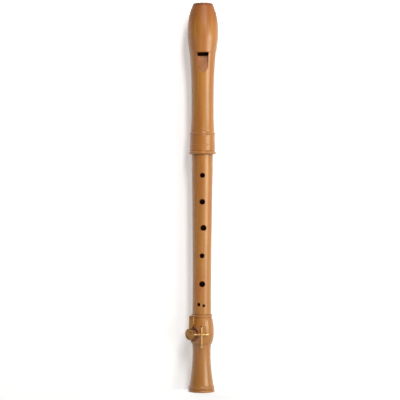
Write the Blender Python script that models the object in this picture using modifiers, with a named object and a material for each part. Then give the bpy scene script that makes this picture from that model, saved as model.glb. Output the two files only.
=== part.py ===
"""Alto recorder in three joints with a keyed foot, in metres, +Z up.

The bore runs up +Z from the centre of the foot's flat end, the mouthpiece is at the top and the
finger holes face -Y. Azimuths are counted from -Y towards +X, the viewer's right.
"""

from math import acos, cos, exp, pi, radians, sin, sqrt

import bmesh
import bpy
from mathutils import Matrix, Vector

# Lengths of the three joints between their shoulders, and the gap at each seam
FOOT_LENGTH = 0.0943
MIDDLE_LENGTH = 0.1955
HEAD_LENGTH = 0.1846
SEAM_GAP = 0.0003

# Bore
HEAD_BORE_RADIUS = 0.0097
MIDDLE_BORE_TOP_RADIUS = 0.0093
MIDDLE_BORE_END_RADIUS = 0.0068
FOOT_BORE_TOP_RADIUS = 0.0066
FOOT_BORE_END_RADIUS = 0.0060

# Tenons, their corks and their sockets
UPPER_TENON_RADIUS = 0.0112
UPPER_TENON_LENGTH = 0.0224
LOWER_TENON_RADIUS = 0.0090
LOWER_TENON_LENGTH = 0.0174
SOCKET_SPARE_DEPTH = 0.0006
CORK_SHOULDER = 0.0040
CORK_GROOVE_DEPTH = 0.0006
CORK_SEAT_GAP = 0.00015
CORK_PROUD = 0.0005
CORK_SOCKET_GAP = 0.00025

# Outside of the head
HEAD_TIP_RADIUS = 0.0120
HEAD_SWELL_RADIUS = 0.0189
HEAD_SWELL_DROP = 0.0405
HEAD_SWELL_POWER = 2.55
HEAD_TAPER_LENGTH = 0.0296
HEAD_TAPER_POWER = 1.3
HEAD_WAIST_RADIUS = 0.0137
HEAD_WAIST_DROP = 0.1150
HEAD_FLARE = 0.0009
HEAD_STEP_ABOVE_WINDOW = 0.0010
HEAD_STEP = 0.0006
HEAD_STEP_HEIGHT = 0.0003
COLLAR_TOP_RADIUS = 0.01515
COLLAR_END_RADIUS = 0.0156
COLLAR_GROOVE_RADIUS = 0.0152
COLLAR_LENGTH = 0.0242
UPPER_BEAD_HEIGHT = 0.0026
UPPER_BEAD_RADIUS = 0.0160
LOWER_BEAD_HEIGHT = 0.0032
LOWER_BEAD_RADIUS = 0.0169

# Beak, windway, window and block
BEAK_LENGTH = 0.0380
BEAK_TIP_THICKNESS = 0.0085
WINDWAY_LENGTH = 0.0604
WINDWAY_WIDTH = 0.0127
WINDWAY_ROOF_DEPTH = 0.0002
WINDWAY_HEIGHT = 0.0012
WINDWAY_CURVE_RADIUS = 0.0195
WINDOW_HEIGHT = 0.0046
LABIUM_EDGE = 0.00015
LABIUM_ANGLE = 12
LABIUM_FLARE_ANGLE = 1.5
LABIUM_UNDERCUT = 0.0080
BLOCK_GAP = 0.00015

# Outside of the middle joint
MIDDLE_TOP_RADIUS = 0.0131
MIDDLE_WAIST_RADIUS = 0.01135
MIDDLE_END_RADIUS = 0.0115
MIDDLE_WAIST_HEIGHT = 0.0330

# Finger holes: height above the middle joint's lower shoulder, diameter and azimuth in degrees
FINGER_HOLES = {
    "first": (0.1700, 0.0061, 0.6),
    "second": (0.1377, 0.0069, 0.2),
    "third": (0.1059, 0.0073, 8.3),
    "fourth": (0.0719, 0.0059, 0.2),
    "fifth": (0.0373, 0.0072, 1.7),
    "sixth_large": (0.0123, 0.0045, -20.5),
    "sixth_small": (0.0111, 0.0034, 12.5),
    "thumb": (0.1789, 0.0058, 182.5),
}

# Outside of the foot
FOOT_TOP_RADIUS = 0.0124
FOOT_BEAD_RADIUS = 0.0131
FOOT_BEAD_HEIGHT = 0.0026
FOOT_GROOVE_RADIUS = 0.0123
SWELL_TOP_DROP = 0.0046
SWELL_TOP_RADIUS = 0.0130
SWELL_RADIUS = 0.0150
SWELL_MIDDLE_DROP = 0.0218
SWELL_END_DROP = 0.0357
SWELL_END_RADIUS = 0.0126
NECK_TOP_RADIUS = 0.0117
NECK_WAIST_RADIUS = 0.0110
NECK_WAIST_HEIGHT = 0.0470
BELL_RADIUS = 0.0149
BELL_POWER = 1.8
RIM_HEIGHT = 0.0069
RIM_RADIUS = 0.0162
RIM_GROOVE_RADIUS = 0.0152
RIM_BEAD_HEIGHT = 0.0036
RIM_LIP_HEIGHT = 0.0027
RIM_EDGE_RADIUS = 0.0156

# Seventh finger hole, its raised seat and the milled places round it
SEAT_AZIMUTH = -53
SEAT_BELOW_TOP = 0.0233
SEAT_DROP = 0.00095
SEAT_HOLE_RADIUS = 0.00325
SEAT_RIM_RADIUS = 0.0050
POCKET_RADIUS = 0.0094
POCKET_DEPTH = 0.00365
KEY_FLAT_DROP = 0.00125
KEY_FLAT_RISE = 0.0100

# Key: an upright hinge in front, the pad on the left flank, the tail on the right
KEY_OPENING = 14
AXLE_STANDOFF = 0.0016
AXLE_RADIUS = 0.00055
AXLE_CLEARANCE = 0.0001
AXLE_END = 0.0004
TUBE_RADIUS = 0.0010
UPPER_POST_RISE = 0.0085
UPPER_POST_HEAD_RADIUS = 0.0020
UPPER_POST_HEAD_THICKNESS = 0.0014
LOWER_POST_FALL = 0.0145
LOWER_POST_BALL_RADIUS = 0.0017
POST_NECK_RADIUS = 0.0011
POST_SHANK_RADIUS = 0.0009
POST_SHANK_LENGTH = 0.0032
JOINT_GAP = 0.00015
PAD_CUP_RADIUS = 0.00705
PAD_CUP_DEPTH = 0.0019
PAD_CUP_WALL = 0.0006
PAD_CUP_FACE = 0.0007
PAD_PROUD = 0.0013
PAD_SEAT_GAP = 0.0001
ARM_HEIGHT = 0.0020
TOUCH_NEAR_OFFSET = 0.0057
TOUCH_FAR_OFFSET = 0.0011
TOUCH_LENGTH = 0.0226
TOUCH_CORNER_RADIUS = 0.0015
TOUCH_CUT_HEIGHT = 0.0132
TOUCH_ROOT_OFFSET = 0.0030
TOUCH_CLEARANCE = 0.00025
TAIL_THICKNESS = 0.0012
TAIL_RISE = 0.0003
TAIL_SWEEP = 31
TAIL_CORK_THICKNESS = 0.0010
TAIL_CORK_SWEEP = 10
SPRING_RADIUS = 0.0003
SPRING_INSET = 0.0021
SPRING_LEAN = 0.0014
SPRING_SHORT = 0.0004

# Facets
BODY_STEPS = 40
SMALL_STEPS = 20
ARC_STEPS = 96
CURVE_POINTS = 7
SHARP_ANGLE = 35
MERGE = 0.00001

# Places that follow from the sizes
MIDDLE_BASE = FOOT_LENGTH + SEAM_GAP
HEAD_BASE = MIDDLE_BASE + MIDDLE_LENGTH + SEAM_GAP
TOTAL_LENGTH = HEAD_BASE + HEAD_LENGTH
WINDWAY_END = HEAD_LENGTH - WINDWAY_LENGTH
LABIUM_HEIGHT = WINDWAY_END - WINDOW_HEIGHT
ROOF_DEPTH = HEAD_BORE_RADIUS + WINDWAY_ROOF_DEPTH
SWELL_MIDDLE_HEIGHT = FOOT_LENGTH - SWELL_MIDDLE_DROP
SWELL_END_HEIGHT = FOOT_LENGTH - SWELL_END_DROP
AXLE_DISTANCE = SWELL_RADIUS + AXLE_STANDOFF
SEAT_HEIGHT = FOOT_LENGTH - SEAT_BELOW_TOP
SEAT_DISTANCE = SWELL_RADIUS - SEAT_DROP
POCKET_FLOOR = SWELL_RADIUS - POCKET_DEPTH
KEY_FLAT_DISTANCE = SWELL_RADIUS - KEY_FLAT_DROP
UPPER_POST_HEIGHT = SEAT_HEIGHT + UPPER_POST_RISE
LOWER_POST_HEIGHT = SEAT_HEIGHT - LOWER_POST_FALL
SEAT_ANGLE = radians(-SEAT_AZIMUTH)
# From the pivot, in the key's own frame: across to the pad's centre, and out to the cup's face
PAD_OFFSET = AXLE_DISTANCE * sin(SEAT_ANGLE)
CUP_FACE = SEAT_DISTANCE + PAD_SEAT_GAP + PAD_PROUD + PAD_CUP_DEPTH - AXLE_DISTANCE * cos(SEAT_ANGLE)

PEAR = ("pearwood", (0.47, 0.22, 0.075), 0.38, 0.0)
CEDAR = ("cedar", (0.42, 0.20, 0.10), 0.65, 0.0)
CORK = ("cork", (0.50, 0.33, 0.18), 0.85, 0.0)
BRASS = ("brass", (0.72, 0.50, 0.20), 0.30, 1.0)
STEEL = ("steel", (0.55, 0.55, 0.56), 0.28, 1.0)
LEATHER = ("pad_leather", (0.62, 0.45, 0.36), 0.75, 0.0)


def make_collection(name):
    collection = bpy.data.collections.new(name)
    bpy.context.scene.collection.children.link(collection)
    return collection


def material_of(finish):
    name, colour, roughness, metallic = finish
    found = bpy.data.materials.get(name) or bpy.data.materials.new(name)
    found.use_nodes = True
    shader = found.node_tree.nodes["Principled BSDF"]
    shader.inputs["Base Color"].default_value = (*colour, 1)
    shader.inputs["Roughness"].default_value = roughness
    shader.inputs["Metallic"].default_value = metallic
    return found


def as_part(obj, finish, place=None, pivot=None):
    """Files an object among the parts, with its finish, its place and the empty that it turns with."""
    obj.data.shade_smooth()
    obj.data.set_sharp_from_angle(angle=radians(SHARP_ANGLE))
    if place is not None:
        obj.matrix_world = place
    obj.data.materials.append(material_of(finish))
    PARTS.objects.link(obj)
    if pivot is not None:
        obj.parent = pivot
    return obj


def as_cutter(obj, place=None):
    if place is not None:
        obj.matrix_world = place
    obj.hide_render = True
    obj.display_type = "WIRE"
    CUTTERS.objects.link(obj)
    return obj


def outward(azimuth, height, distance=0.0):
    """The place whose Z points out of the bore at an azimuth in degrees."""
    turn = Matrix.Rotation(radians(azimuth), 4, "Z") @ Matrix.Rotation(radians(90), 4, "X")
    return Matrix.Translation((0, 0, height)) @ turn @ Matrix.Translation((0, 0, distance))


def turned(name, profile, steps=BODY_STEPS, ring=False):
    """Turns (radius, height) points about Z. They run down the outer side, and up the inner side of a ring."""
    mesh = bpy.data.meshes.new(name)
    edges = [(i, i + 1) for i in range(len(profile) - 1)]
    if ring:
        edges.append((len(profile) - 1, 0))
    mesh.from_pydata([(radius, 0, height) for radius, height in profile], edges, [])
    obj = bpy.data.objects.new(name, mesh)
    screw = obj.modifiers.new("Turn", "SCREW")
    screw.steps = screw.render_steps = steps
    screw.use_smooth_shade = True
    screw.use_merge_vertices = True
    screw.merge_threshold = MERGE
    return obj


def from_bmesh(name, shape):
    mesh = bpy.data.meshes.new(name)
    shape.to_mesh(mesh)
    shape.free()
    return bpy.data.objects.new(name, mesh)


def rod(name, radius, low, high, steps=SMALL_STEPS):
    """A cylinder along Z between two heights."""
    shape = bmesh.new()
    middle = Matrix.Translation((0, 0, (low + high) / 2))
    bmesh.ops.create_cone(
        shape, cap_ends=True, segments=steps, radius1=radius, radius2=radius, depth=high - low, matrix=middle
    )
    return from_bmesh(name, shape)


def box(name, low, high):
    shape = bmesh.new()
    size = Vector(high) - Vector(low)
    middle = Matrix.Translation((Vector(low) + Vector(high)) / 2)
    bmesh.ops.create_cube(shape, size=1, matrix=middle @ Matrix.Diagonal((*size, 1)))
    return from_bmesh(name, shape)


def slab(name, outline, thickness):
    """A flat outline in XY, thickened evenly about its plane."""
    curve = bpy.data.curves.new(name + "_outline", "CURVE")
    curve.dimensions = "2D"
    curve.fill_mode = "BOTH"
    curve.extrude = thickness / 2
    spline = curve.splines.new("POLY")
    spline.points.add(len(outline) - 1)
    for point, (x, y) in zip(spline.points, outline):
        point.co = (x, y, 0, 1)
    spline.use_cyclic_u = True
    drawn = bpy.data.objects.new(name + "_outline", curve)
    PARTS.objects.link(drawn)
    bpy.context.view_layer.update()
    graph = bpy.context.evaluated_depsgraph_get()
    mesh = bpy.data.meshes.new_from_object(drawn.evaluated_get(graph))
    mesh.name = name
    bpy.data.objects.remove(drawn, do_unlink=True)
    shape = bmesh.new()
    shape.from_mesh(mesh)
    bmesh.ops.remove_doubles(shape, verts=shape.verts, dist=MERGE)
    bmesh.ops.recalc_face_normals(shape, faces=shape.faces)
    shape.to_mesh(mesh)
    shape.free()
    return bpy.data.objects.new(name, mesh)


def combine(target, tool, operation="DIFFERENCE"):
    boolean = target.modifiers.new(tool.name, "BOOLEAN")
    boolean.operation = operation
    boolean.object = tool
    boolean.solver = "EXACT"


def arc(centre, radius, start, end, count=CURVE_POINTS):
    """Points on a circle between two angles in radians, counted from +X."""
    angles = [start + (end - start) * i / (count - 1) for i in range(count)]
    return [(centre[0] + radius * cos(a), centre[1] + radius * sin(a)) for a in angles]


def bead(top, height, base, tip, count=5):
    """A half-round moulding on a turned profile, from its top down."""
    points = []
    for i in range(count):
        angle = pi * i / (count - 1)
        points.append((base + (tip - base) * sin(angle), top - height * (1 - cos(angle)) / 2))
    return points


def run(start, end, radius_at, count=CURVE_POINTS):
    """Profile points at even heights from start down to end, with the radius as a function of height."""
    heights = [start + (end - start) * i / (count - 1) for i in range(count)]
    return [(radius_at(height), height) for height in heights]


def head_swell_radius(height):
    """Tip to swell: the radius falls away from the swell with the power of the distance."""
    share = (height - (HEAD_LENGTH - HEAD_SWELL_DROP)) / HEAD_SWELL_DROP
    return HEAD_SWELL_RADIUS - (HEAD_SWELL_RADIUS - HEAD_TIP_RADIUS) * share**HEAD_SWELL_POWER


def head_taper_fall(height):
    """1 at the swell, 0 at the waist: dies away like a bell curve."""
    drop = HEAD_LENGTH - HEAD_SWELL_DROP - height
    fall = exp(-((drop / HEAD_TAPER_LENGTH) ** HEAD_TAPER_POWER))
    end = exp(-(((HEAD_WAIST_DROP - HEAD_SWELL_DROP) / HEAD_TAPER_LENGTH) ** HEAD_TAPER_POWER))
    return (fall - end) / (1 - end)


def head_taper_radius(height):
    """Swell to the fine step over the window."""
    return HEAD_WAIST_RADIUS + (HEAD_SWELL_RADIUS - HEAD_WAIST_RADIUS) * head_taper_fall(height)


def head_stepped_radius(height):
    """Below the fine step, down to the waist."""
    return head_taper_radius(height) - HEAD_STEP * head_taper_fall(height)


def head_lower_radius(height):
    """Waist to the collar's bead: flares with the fourth power."""
    top = HEAD_LENGTH - HEAD_WAIST_DROP
    share = (top - height) / (top - COLLAR_LENGTH - 2 * UPPER_BEAD_HEIGHT)
    return HEAD_WAIST_RADIUS + HEAD_FLARE * share**4


def head_profile():
    """Outside from the tip down to the shoulder, then up through the socket and the bore."""
    step_height = WINDWAY_END + HEAD_STEP_ABOVE_WINDOW
    swell_height = HEAD_LENGTH - HEAD_SWELL_DROP
    waist_height = HEAD_LENGTH - HEAD_WAIST_DROP
    flare_end = COLLAR_LENGTH + 2 * UPPER_BEAD_HEIGHT
    socket_radius = UPPER_TENON_RADIUS + CORK_PROUD + CORK_SOCKET_GAP
    socket_depth = UPPER_TENON_LENGTH + SOCKET_SPARE_DEPTH
    outside = run(HEAD_LENGTH, swell_height, head_swell_radius, 9)
    outside += run(swell_height, step_height, head_taper_radius, 6)[1:]
    outside += run(step_height - HEAD_STEP_HEIGHT, waist_height, head_stepped_radius, 11)
    outside += run(waist_height, flare_end, head_lower_radius, 5)[1:]
    outside += bead(flare_end - UPPER_BEAD_HEIGHT, UPPER_BEAD_HEIGHT, COLLAR_TOP_RADIUS, UPPER_BEAD_RADIUS)
    lower_bead_top = LOWER_BEAD_HEIGHT + SEAM_GAP
    outside += [(COLLAR_END_RADIUS, lower_bead_top + SEAM_GAP)]
    outside += bead(lower_bead_top, LOWER_BEAD_HEIGHT, COLLAR_GROOVE_RADIUS, LOWER_BEAD_RADIUS, 7)
    outside += [(COLLAR_GROOVE_RADIUS - SEAM_GAP, 0)]
    inside = [
        (socket_radius, 0),
        (socket_radius, socket_depth),
        (HEAD_BORE_RADIUS, socket_depth),
        (HEAD_BORE_RADIUS, HEAD_LENGTH),
    ]
    return outside + inside


def beak_cutter(name, place):
    """The hollow under the beak: a drum across the back, upright at the tip, out through the swell."""
    cut_depth = HEAD_SWELL_RADIUS + HEAD_TIP_RADIUS - BEAK_TIP_THICKNESS
    radius = (BEAK_LENGTH**2 + cut_depth**2) / (2 * cut_depth)
    back = BEAK_TIP_THICKNESS - HEAD_TIP_RADIUS + radius
    across = Matrix.Translation((0, back, HEAD_LENGTH)) @ Matrix.Rotation(radians(90), 4, "Y")
    drum = rod(name, radius, -2 * HEAD_SWELL_RADIUS, 2 * HEAD_SWELL_RADIUS, ARC_STEPS)
    return as_cutter(drum, place @ across)


def window_cutter(name, place):
    """The window and the labium's ramp: a wedge seen from the side that widens down the ramp."""
    edge_depth = ROOF_DEPTH + LABIUM_EDGE
    ramp_end_depth = HEAD_SWELL_RADIUS + BLOCK_GAP
    ramp_end = LABIUM_HEIGHT - (ramp_end_depth - edge_depth) / sin(radians(LABIUM_ANGLE)) * cos(
        radians(LABIUM_ANGLE)
    )
    inside = -HEAD_BORE_RADIUS * 0.5
    outside = -2 * HEAD_SWELL_RADIUS
    side_view = [
        (outside, WINDWAY_END),
        (outside, ramp_end),
        (-ramp_end_depth, ramp_end),
        (-edge_depth, LABIUM_HEIGHT),
        (inside, LABIUM_HEIGHT),
        (inside, WINDWAY_END),
    ]
    wedge = slab(name, side_view, WINDWAY_WIDTH)
    flare = sin(radians(LABIUM_FLARE_ANGLE))
    for vertex in wedge.data.vertices:
        depth, height, side = vertex.co
        spread = flare * max(LABIUM_HEIGHT - height, 0)
        vertex.co = (side + spread * (1 if side > 0 else -1), depth, height)
    shape = bmesh.new()
    shape.from_mesh(wedge.data)
    bmesh.ops.recalc_face_normals(shape, faces=shape.faces)
    shape.to_mesh(wedge.data)
    shape.free()
    return as_cutter(wedge, place)


def windway_cutter(name, place):
    """The groove of the windway's curved roof, from the tip to a little below the labium."""
    centre = (0, WINDWAY_CURVE_RADIUS - ROOF_DEPTH)
    spread = acos(WINDWAY_WIDTH / 2 / WINDWAY_CURVE_RADIUS)
    outline = arc(centre, WINDWAY_CURVE_RADIUS, -spread, -pi + spread)
    outline += [(-WINDWAY_WIDTH / 2, -HEAD_BORE_RADIUS * 0.5), (WINDWAY_WIDTH / 2, -HEAD_BORE_RADIUS * 0.5)]
    length = HEAD_LENGTH - LABIUM_HEIGHT + 2 * LABIUM_UNDERCUT
    groove = slab(name, outline, length)
    return as_cutter(groove, place @ Matrix.Translation((0, 0, HEAD_LENGTH + LABIUM_UNDERCUT - length / 2)))


def build_head():
    place = Matrix.Translation((0, 0, HEAD_BASE))
    head = as_part(turned("head_joint", head_profile(), ring=True), PEAR, place)
    beak = beak_cutter("beak_cutter", place)
    combine(head, beak)
    combine(head, windway_cutter("windway_cutter", place))
    combine(head, window_cutter("window_cutter", place))
    radius = HEAD_BORE_RADIUS - BLOCK_GAP
    block = as_part(rod("fipple_block", radius, WINDWAY_END, HEAD_LENGTH, BODY_STEPS), CEDAR, place)
    floor_radius = WINDWAY_CURVE_RADIUS - WINDWAY_HEIGHT
    floor = rod("windway_floor", floor_radius, 0, 2 * HEAD_LENGTH, ARC_STEPS)
    floor_place = place @ Matrix.Translation((0, WINDWAY_CURVE_RADIUS - ROOF_DEPTH, 0))
    combine(block, as_cutter(floor, floor_place), "INTERSECT")
    combine(block, beak)


def middle_radius(height):
    """Outside of the middle joint: widens evenly from its waist, more towards the head."""
    if height > MIDDLE_WAIST_HEIGHT:
        share = (height - MIDDLE_WAIST_HEIGHT) / (MIDDLE_LENGTH - MIDDLE_WAIST_HEIGHT)
        return MIDDLE_WAIST_RADIUS + (MIDDLE_TOP_RADIUS - MIDDLE_WAIST_RADIUS) * share**1.4
    share = 1 - height / MIDDLE_WAIST_HEIGHT
    return MIDDLE_WAIST_RADIUS + (MIDDLE_END_RADIUS - MIDDLE_WAIST_RADIUS) * share**2


def tenon(radius, near, far):
    """Profile of a tenon between two heights, with the groove that holds its cork."""
    inward = 1 if far > near else -1
    groove = radius - CORK_GROOVE_DEPTH
    start = near + inward * CORK_SHOULDER
    end = far - inward * CORK_SHOULDER
    return [(radius, near), (radius, start), (groove, start), (groove, end), (radius, end), (radius, far)]


def middle_profile():
    top = MIDDLE_LENGTH + UPPER_TENON_LENGTH
    upper = tenon(UPPER_TENON_RADIUS, MIDDLE_LENGTH, top)
    lower = tenon(LOWER_TENON_RADIUS, 0, -LOWER_TENON_LENGTH)
    outside = run(MIDDLE_LENGTH, 0, middle_radius, 9)
    bore = [(MIDDLE_BORE_END_RADIUS, -LOWER_TENON_LENGTH), (MIDDLE_BORE_TOP_RADIUS, top)]
    return upper[::-1] + outside + lower + bore


def cork_ring(name, radius, near, far, finish_place):
    """A cork band in its tenon's groove, a little proud of the tenon."""
    start = near + CORK_SHOULDER + SEAM_GAP
    end = far - CORK_SHOULDER - SEAM_GAP
    inner = radius - CORK_GROOVE_DEPTH + CORK_SEAT_GAP
    outer = radius + CORK_PROUD
    ring = turned(name, [(outer, end), (outer, start), (inner, start), (inner, end)], ring=True)
    return as_part(ring, CORK, finish_place)


def build_middle():
    place = Matrix.Translation((0, 0, MIDDLE_BASE))
    middle = as_part(turned("middle_joint", middle_profile(), ring=True), PEAR, place)
    for name, (height, diameter, azimuth) in FINGER_HOLES.items():
        hole = rod(name + "_hole", diameter / 2, 0, 2 * MIDDLE_TOP_RADIUS)
        combine(middle, as_cutter(hole, outward(azimuth, MIDDLE_BASE + height)))
    top = MIDDLE_LENGTH + UPPER_TENON_LENGTH
    cork_ring("upper_tenon_cork", UPPER_TENON_RADIUS, MIDDLE_LENGTH, top, place)
    cork_ring("lower_tenon_cork", LOWER_TENON_RADIUS, -LOWER_TENON_LENGTH, 0, place)


def swell_radius(height):
    """The foot's swelling: rounds off to its own radius at each end."""
    if height > SWELL_MIDDLE_HEIGHT:
        share = (height - SWELL_MIDDLE_HEIGHT) / (FOOT_LENGTH - SWELL_TOP_DROP - SWELL_MIDDLE_HEIGHT)
        return SWELL_RADIUS - (SWELL_RADIUS - SWELL_TOP_RADIUS) * share**2
    share = (SWELL_MIDDLE_HEIGHT - height) / (SWELL_MIDDLE_HEIGHT - SWELL_END_HEIGHT)
    return SWELL_RADIUS - (SWELL_RADIUS - SWELL_END_RADIUS) * share**2.4


def neck_radius(height):
    """Neck and bell: each leaves the neck's waist with a power of the distance."""
    if height > NECK_WAIST_HEIGHT:
        share = (height - NECK_WAIST_HEIGHT) / (SWELL_END_HEIGHT - NECK_WAIST_HEIGHT)
        return NECK_WAIST_RADIUS + (NECK_TOP_RADIUS - NECK_WAIST_RADIUS) * share**2
    share = (NECK_WAIST_HEIGHT - height) / (NECK_WAIST_HEIGHT - RIM_HEIGHT)
    return NECK_WAIST_RADIUS + (BELL_RADIUS - NECK_WAIST_RADIUS) * share**BELL_POWER


def foot_profile():
    """Outside from the socket's mouth down to the rim, then up through the bore and the socket."""
    groove_top = FOOT_LENGTH - FOOT_BEAD_HEIGHT - SEAM_GAP
    socket_radius = LOWER_TENON_RADIUS + CORK_PROUD + CORK_SOCKET_GAP
    socket_floor = FOOT_LENGTH - LOWER_TENON_LENGTH - SOCKET_SPARE_DEPTH
    outside = [(FOOT_TOP_RADIUS, FOOT_LENGTH)]
    outside += bead(groove_top + FOOT_BEAD_HEIGHT, FOOT_BEAD_HEIGHT, FOOT_GROOVE_RADIUS, FOOT_BEAD_RADIUS)
    outside += run(FOOT_LENGTH - SWELL_TOP_DROP, SWELL_MIDDLE_HEIGHT, swell_radius, 6)
    outside += run(SWELL_MIDDLE_HEIGHT, SWELL_END_HEIGHT, swell_radius, 8)[1:]
    outside += run(SWELL_END_HEIGHT, NECK_WAIST_HEIGHT, neck_radius, 4)
    outside += run(NECK_WAIST_HEIGHT, RIM_HEIGHT, neck_radius, 8)[1:]
    outside += bead(RIM_HEIGHT, RIM_BEAD_HEIGHT, RIM_GROOVE_RADIUS, RIM_RADIUS)
    outside += bead(RIM_LIP_HEIGHT, RIM_LIP_HEIGHT, RIM_GROOVE_RADIUS, RIM_RADIUS)[:-1]
    outside += [(RIM_EDGE_RADIUS, 0)]
    inside = [
        (FOOT_BORE_END_RADIUS, 0),
        (FOOT_BORE_TOP_RADIUS, socket_floor),
        (socket_radius, socket_floor),
        (socket_radius, FOOT_LENGTH),
    ]
    return outside + inside


def build_foot():
    foot = as_part(turned("foot_joint", foot_profile(), ring=True), PEAR)
    reach = AXLE_DISTANCE + UPPER_POST_HEAD_RADIUS
    pocket = [
        (0, reach),
        (POCKET_RADIUS, reach),
        (POCKET_RADIUS, POCKET_FLOOR),
        (SEAT_RIM_RADIUS, POCKET_FLOOR),
        (SEAT_RIM_RADIUS, SEAT_DISTANCE),
        (0, SEAT_DISTANCE),
    ]
    seat = outward(SEAT_AZIMUTH, SEAT_HEIGHT)
    combine(foot, as_cutter(turned("seat_pocket", pocket, BODY_STEPS), seat))
    combine(foot, as_cutter(rod("seventh_hole", SEAT_HOLE_RADIUS, 0, reach), seat))
    flat_low = (-SWELL_RADIUS, -reach, SWELL_END_HEIGHT - SEAM_GAP)
    flat_high = (SWELL_RADIUS, -KEY_FLAT_DISTANCE, SEAT_HEIGHT + KEY_FLAT_RISE)
    combine(foot, as_cutter(box("key_flat", flat_low, flat_high)))
    for name, height, surface in post_seats():
        hole_end = surface - POST_SHANK_LENGTH - JOINT_GAP
        hole = rod(name + "_drilling", POST_SHANK_RADIUS + JOINT_GAP, hole_end, reach)
        combine(foot, as_cutter(hole, outward(0, height)))


def post_seats():
    """Each post's name, its height, and the distance from the bore's axis at which its neck leaves the wood."""
    upper = ("key_post_upper", UPPER_POST_HEIGHT, KEY_FLAT_DISTANCE)
    lower = ("key_post_lower", LOWER_POST_HEIGHT, neck_radius(LOWER_POST_HEIGHT))
    return upper, lower


def build_posts():
    """Two turned posts, screwed into the wood in front, that carry the pivot pin."""
    pin_hole_radius = AXLE_RADIUS + AXLE_CLEARANCE
    neck_end = AXLE_DISTANCE - TUBE_RADIUS - JOINT_GAP
    for name, height, surface in post_seats():
        stem = [
            (0, neck_end),
            (POST_NECK_RADIUS, neck_end),
            (POST_NECK_RADIUS, surface + JOINT_GAP),
            (POST_SHANK_RADIUS, surface + JOINT_GAP),
            (POST_SHANK_RADIUS, surface - POST_SHANK_LENGTH),
            (0, surface - POST_SHANK_LENGTH),
        ]
        post = as_part(turned(name, stem, SMALL_STEPS), BRASS, outward(0, height))
        pivot_point = Matrix.Translation((0, -AXLE_DISTANCE, height))
        if height == UPPER_POST_HEIGHT:
            half = UPPER_POST_HEAD_THICKNESS / 2
            head = rod(name + "_head", UPPER_POST_HEAD_RADIUS, -half, half)
        else:
            angles = [pi / 2 - pi * i / 8 for i in range(9)]
            ball = [(LOWER_POST_BALL_RADIUS * cos(a), LOWER_POST_BALL_RADIUS * sin(a)) for a in angles]
            head = turned(name + "_head", ball, SMALL_STEPS)
        combine(post, as_cutter(head, pivot_point), "UNION")
        reach = UPPER_POST_HEAD_RADIUS * 2
        combine(post, as_cutter(rod(name + "_pin_hole", pin_hole_radius, -reach, reach), pivot_point))


def build_pin():
    """The pivot pin through both posts, with a little of each end showing."""
    low = LOWER_POST_HEIGHT - LOWER_POST_BALL_RADIUS - AXLE_END
    high = UPPER_POST_HEIGHT + UPPER_POST_HEAD_THICKNESS / 2 + AXLE_END
    pin = rod("key_axle", AXLE_RADIUS, low, high)
    as_part(pin, STEEL, Matrix.Translation((0, -AXLE_DISTANCE, 0)))


def build_spring():
    """A needle from the lower post up to the arm, leaning left so that it presses the arm open."""
    needle_distance = AXLE_DISTANCE - SPRING_INSET
    low = LOWER_POST_HEIGHT + POST_NECK_RADIUS + JOINT_GAP
    high = SEAT_HEIGHT - ARM_HEIGHT / 2 - SPRING_SHORT
    lean = Matrix.Shear("XY", 4, (-SPRING_LEAN / (high - low), 0))
    needle = rod("key_spring", SPRING_RADIUS, 0, high - low, 10)
    needle.data.transform(lean)
    as_part(needle, STEEL, Matrix.Translation((0, -needle_distance, low)))


def build_key(pivot):
    """Everything that swings with the key. The pivot's -Y is the way the pad faces out, its -X leads to the pad."""
    tube_low = LOWER_POST_HEIGHT + LOWER_POST_BALL_RADIUS + JOINT_GAP - SEAT_HEIGHT
    tube_high = UPPER_POST_RISE - UPPER_POST_HEAD_THICKNESS / 2 - JOINT_GAP
    bore = AXLE_RADIUS + AXLE_CLEARANCE
    sleeve = [(TUBE_RADIUS, tube_high), (TUBE_RADIUS, tube_low), (bore, tube_low), (bore, tube_high)]
    as_part(turned("key_hinge_tube", sleeve, SMALL_STEPS, ring=True), BRASS, pivot=pivot)

    face_out = Matrix.Translation((-PAD_OFFSET, 0, 0)) @ Matrix.Rotation(radians(90), 4, "X")
    cup_inner = PAD_CUP_RADIUS - PAD_CUP_WALL
    cup_profile = [
        (0, CUP_FACE),
        (PAD_CUP_RADIUS - PAD_CUP_WALL, CUP_FACE),
        (PAD_CUP_RADIUS, CUP_FACE - PAD_CUP_WALL / 2),
        (PAD_CUP_RADIUS, CUP_FACE - PAD_CUP_DEPTH),
        (cup_inner, CUP_FACE - PAD_CUP_DEPTH),
        (cup_inner, CUP_FACE - PAD_CUP_FACE),
        (0, CUP_FACE - PAD_CUP_FACE),
    ]
    as_part(turned("pad_cup", cup_profile, BODY_STEPS), BRASS, face_out, pivot)
    pad_radius = cup_inner - JOINT_GAP
    pad_low = CUP_FACE - PAD_CUP_DEPTH - PAD_PROUD
    pad = rod("key_pad", pad_radius, pad_low, CUP_FACE - PAD_CUP_FACE - JOINT_GAP, BODY_STEPS)
    as_part(pad, LEATHER, face_out, pivot)

    arm_end = -(PAD_OFFSET - PAD_CUP_RADIUS - JOINT_GAP)
    cup_mid = -(CUP_FACE - PAD_CUP_DEPTH / 2)
    along = Vector((arm_end, cup_mid)).normalized()
    aside = Vector((along.y, -along.x)) * PAD_CUP_DEPTH / 2
    near = along * (TUBE_RADIUS + JOINT_GAP)
    outline = [
        tuple(near + aside),
        tuple(near - aside),
        (arm_end, -(CUP_FACE - PAD_CUP_WALL / 2)),
        (arm_end, -(CUP_FACE - PAD_CUP_DEPTH)),
    ]
    as_part(slab("key_arm", outline, ARM_HEIGHT), BRASS, pivot=pivot)
    build_touch(pivot)


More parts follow.
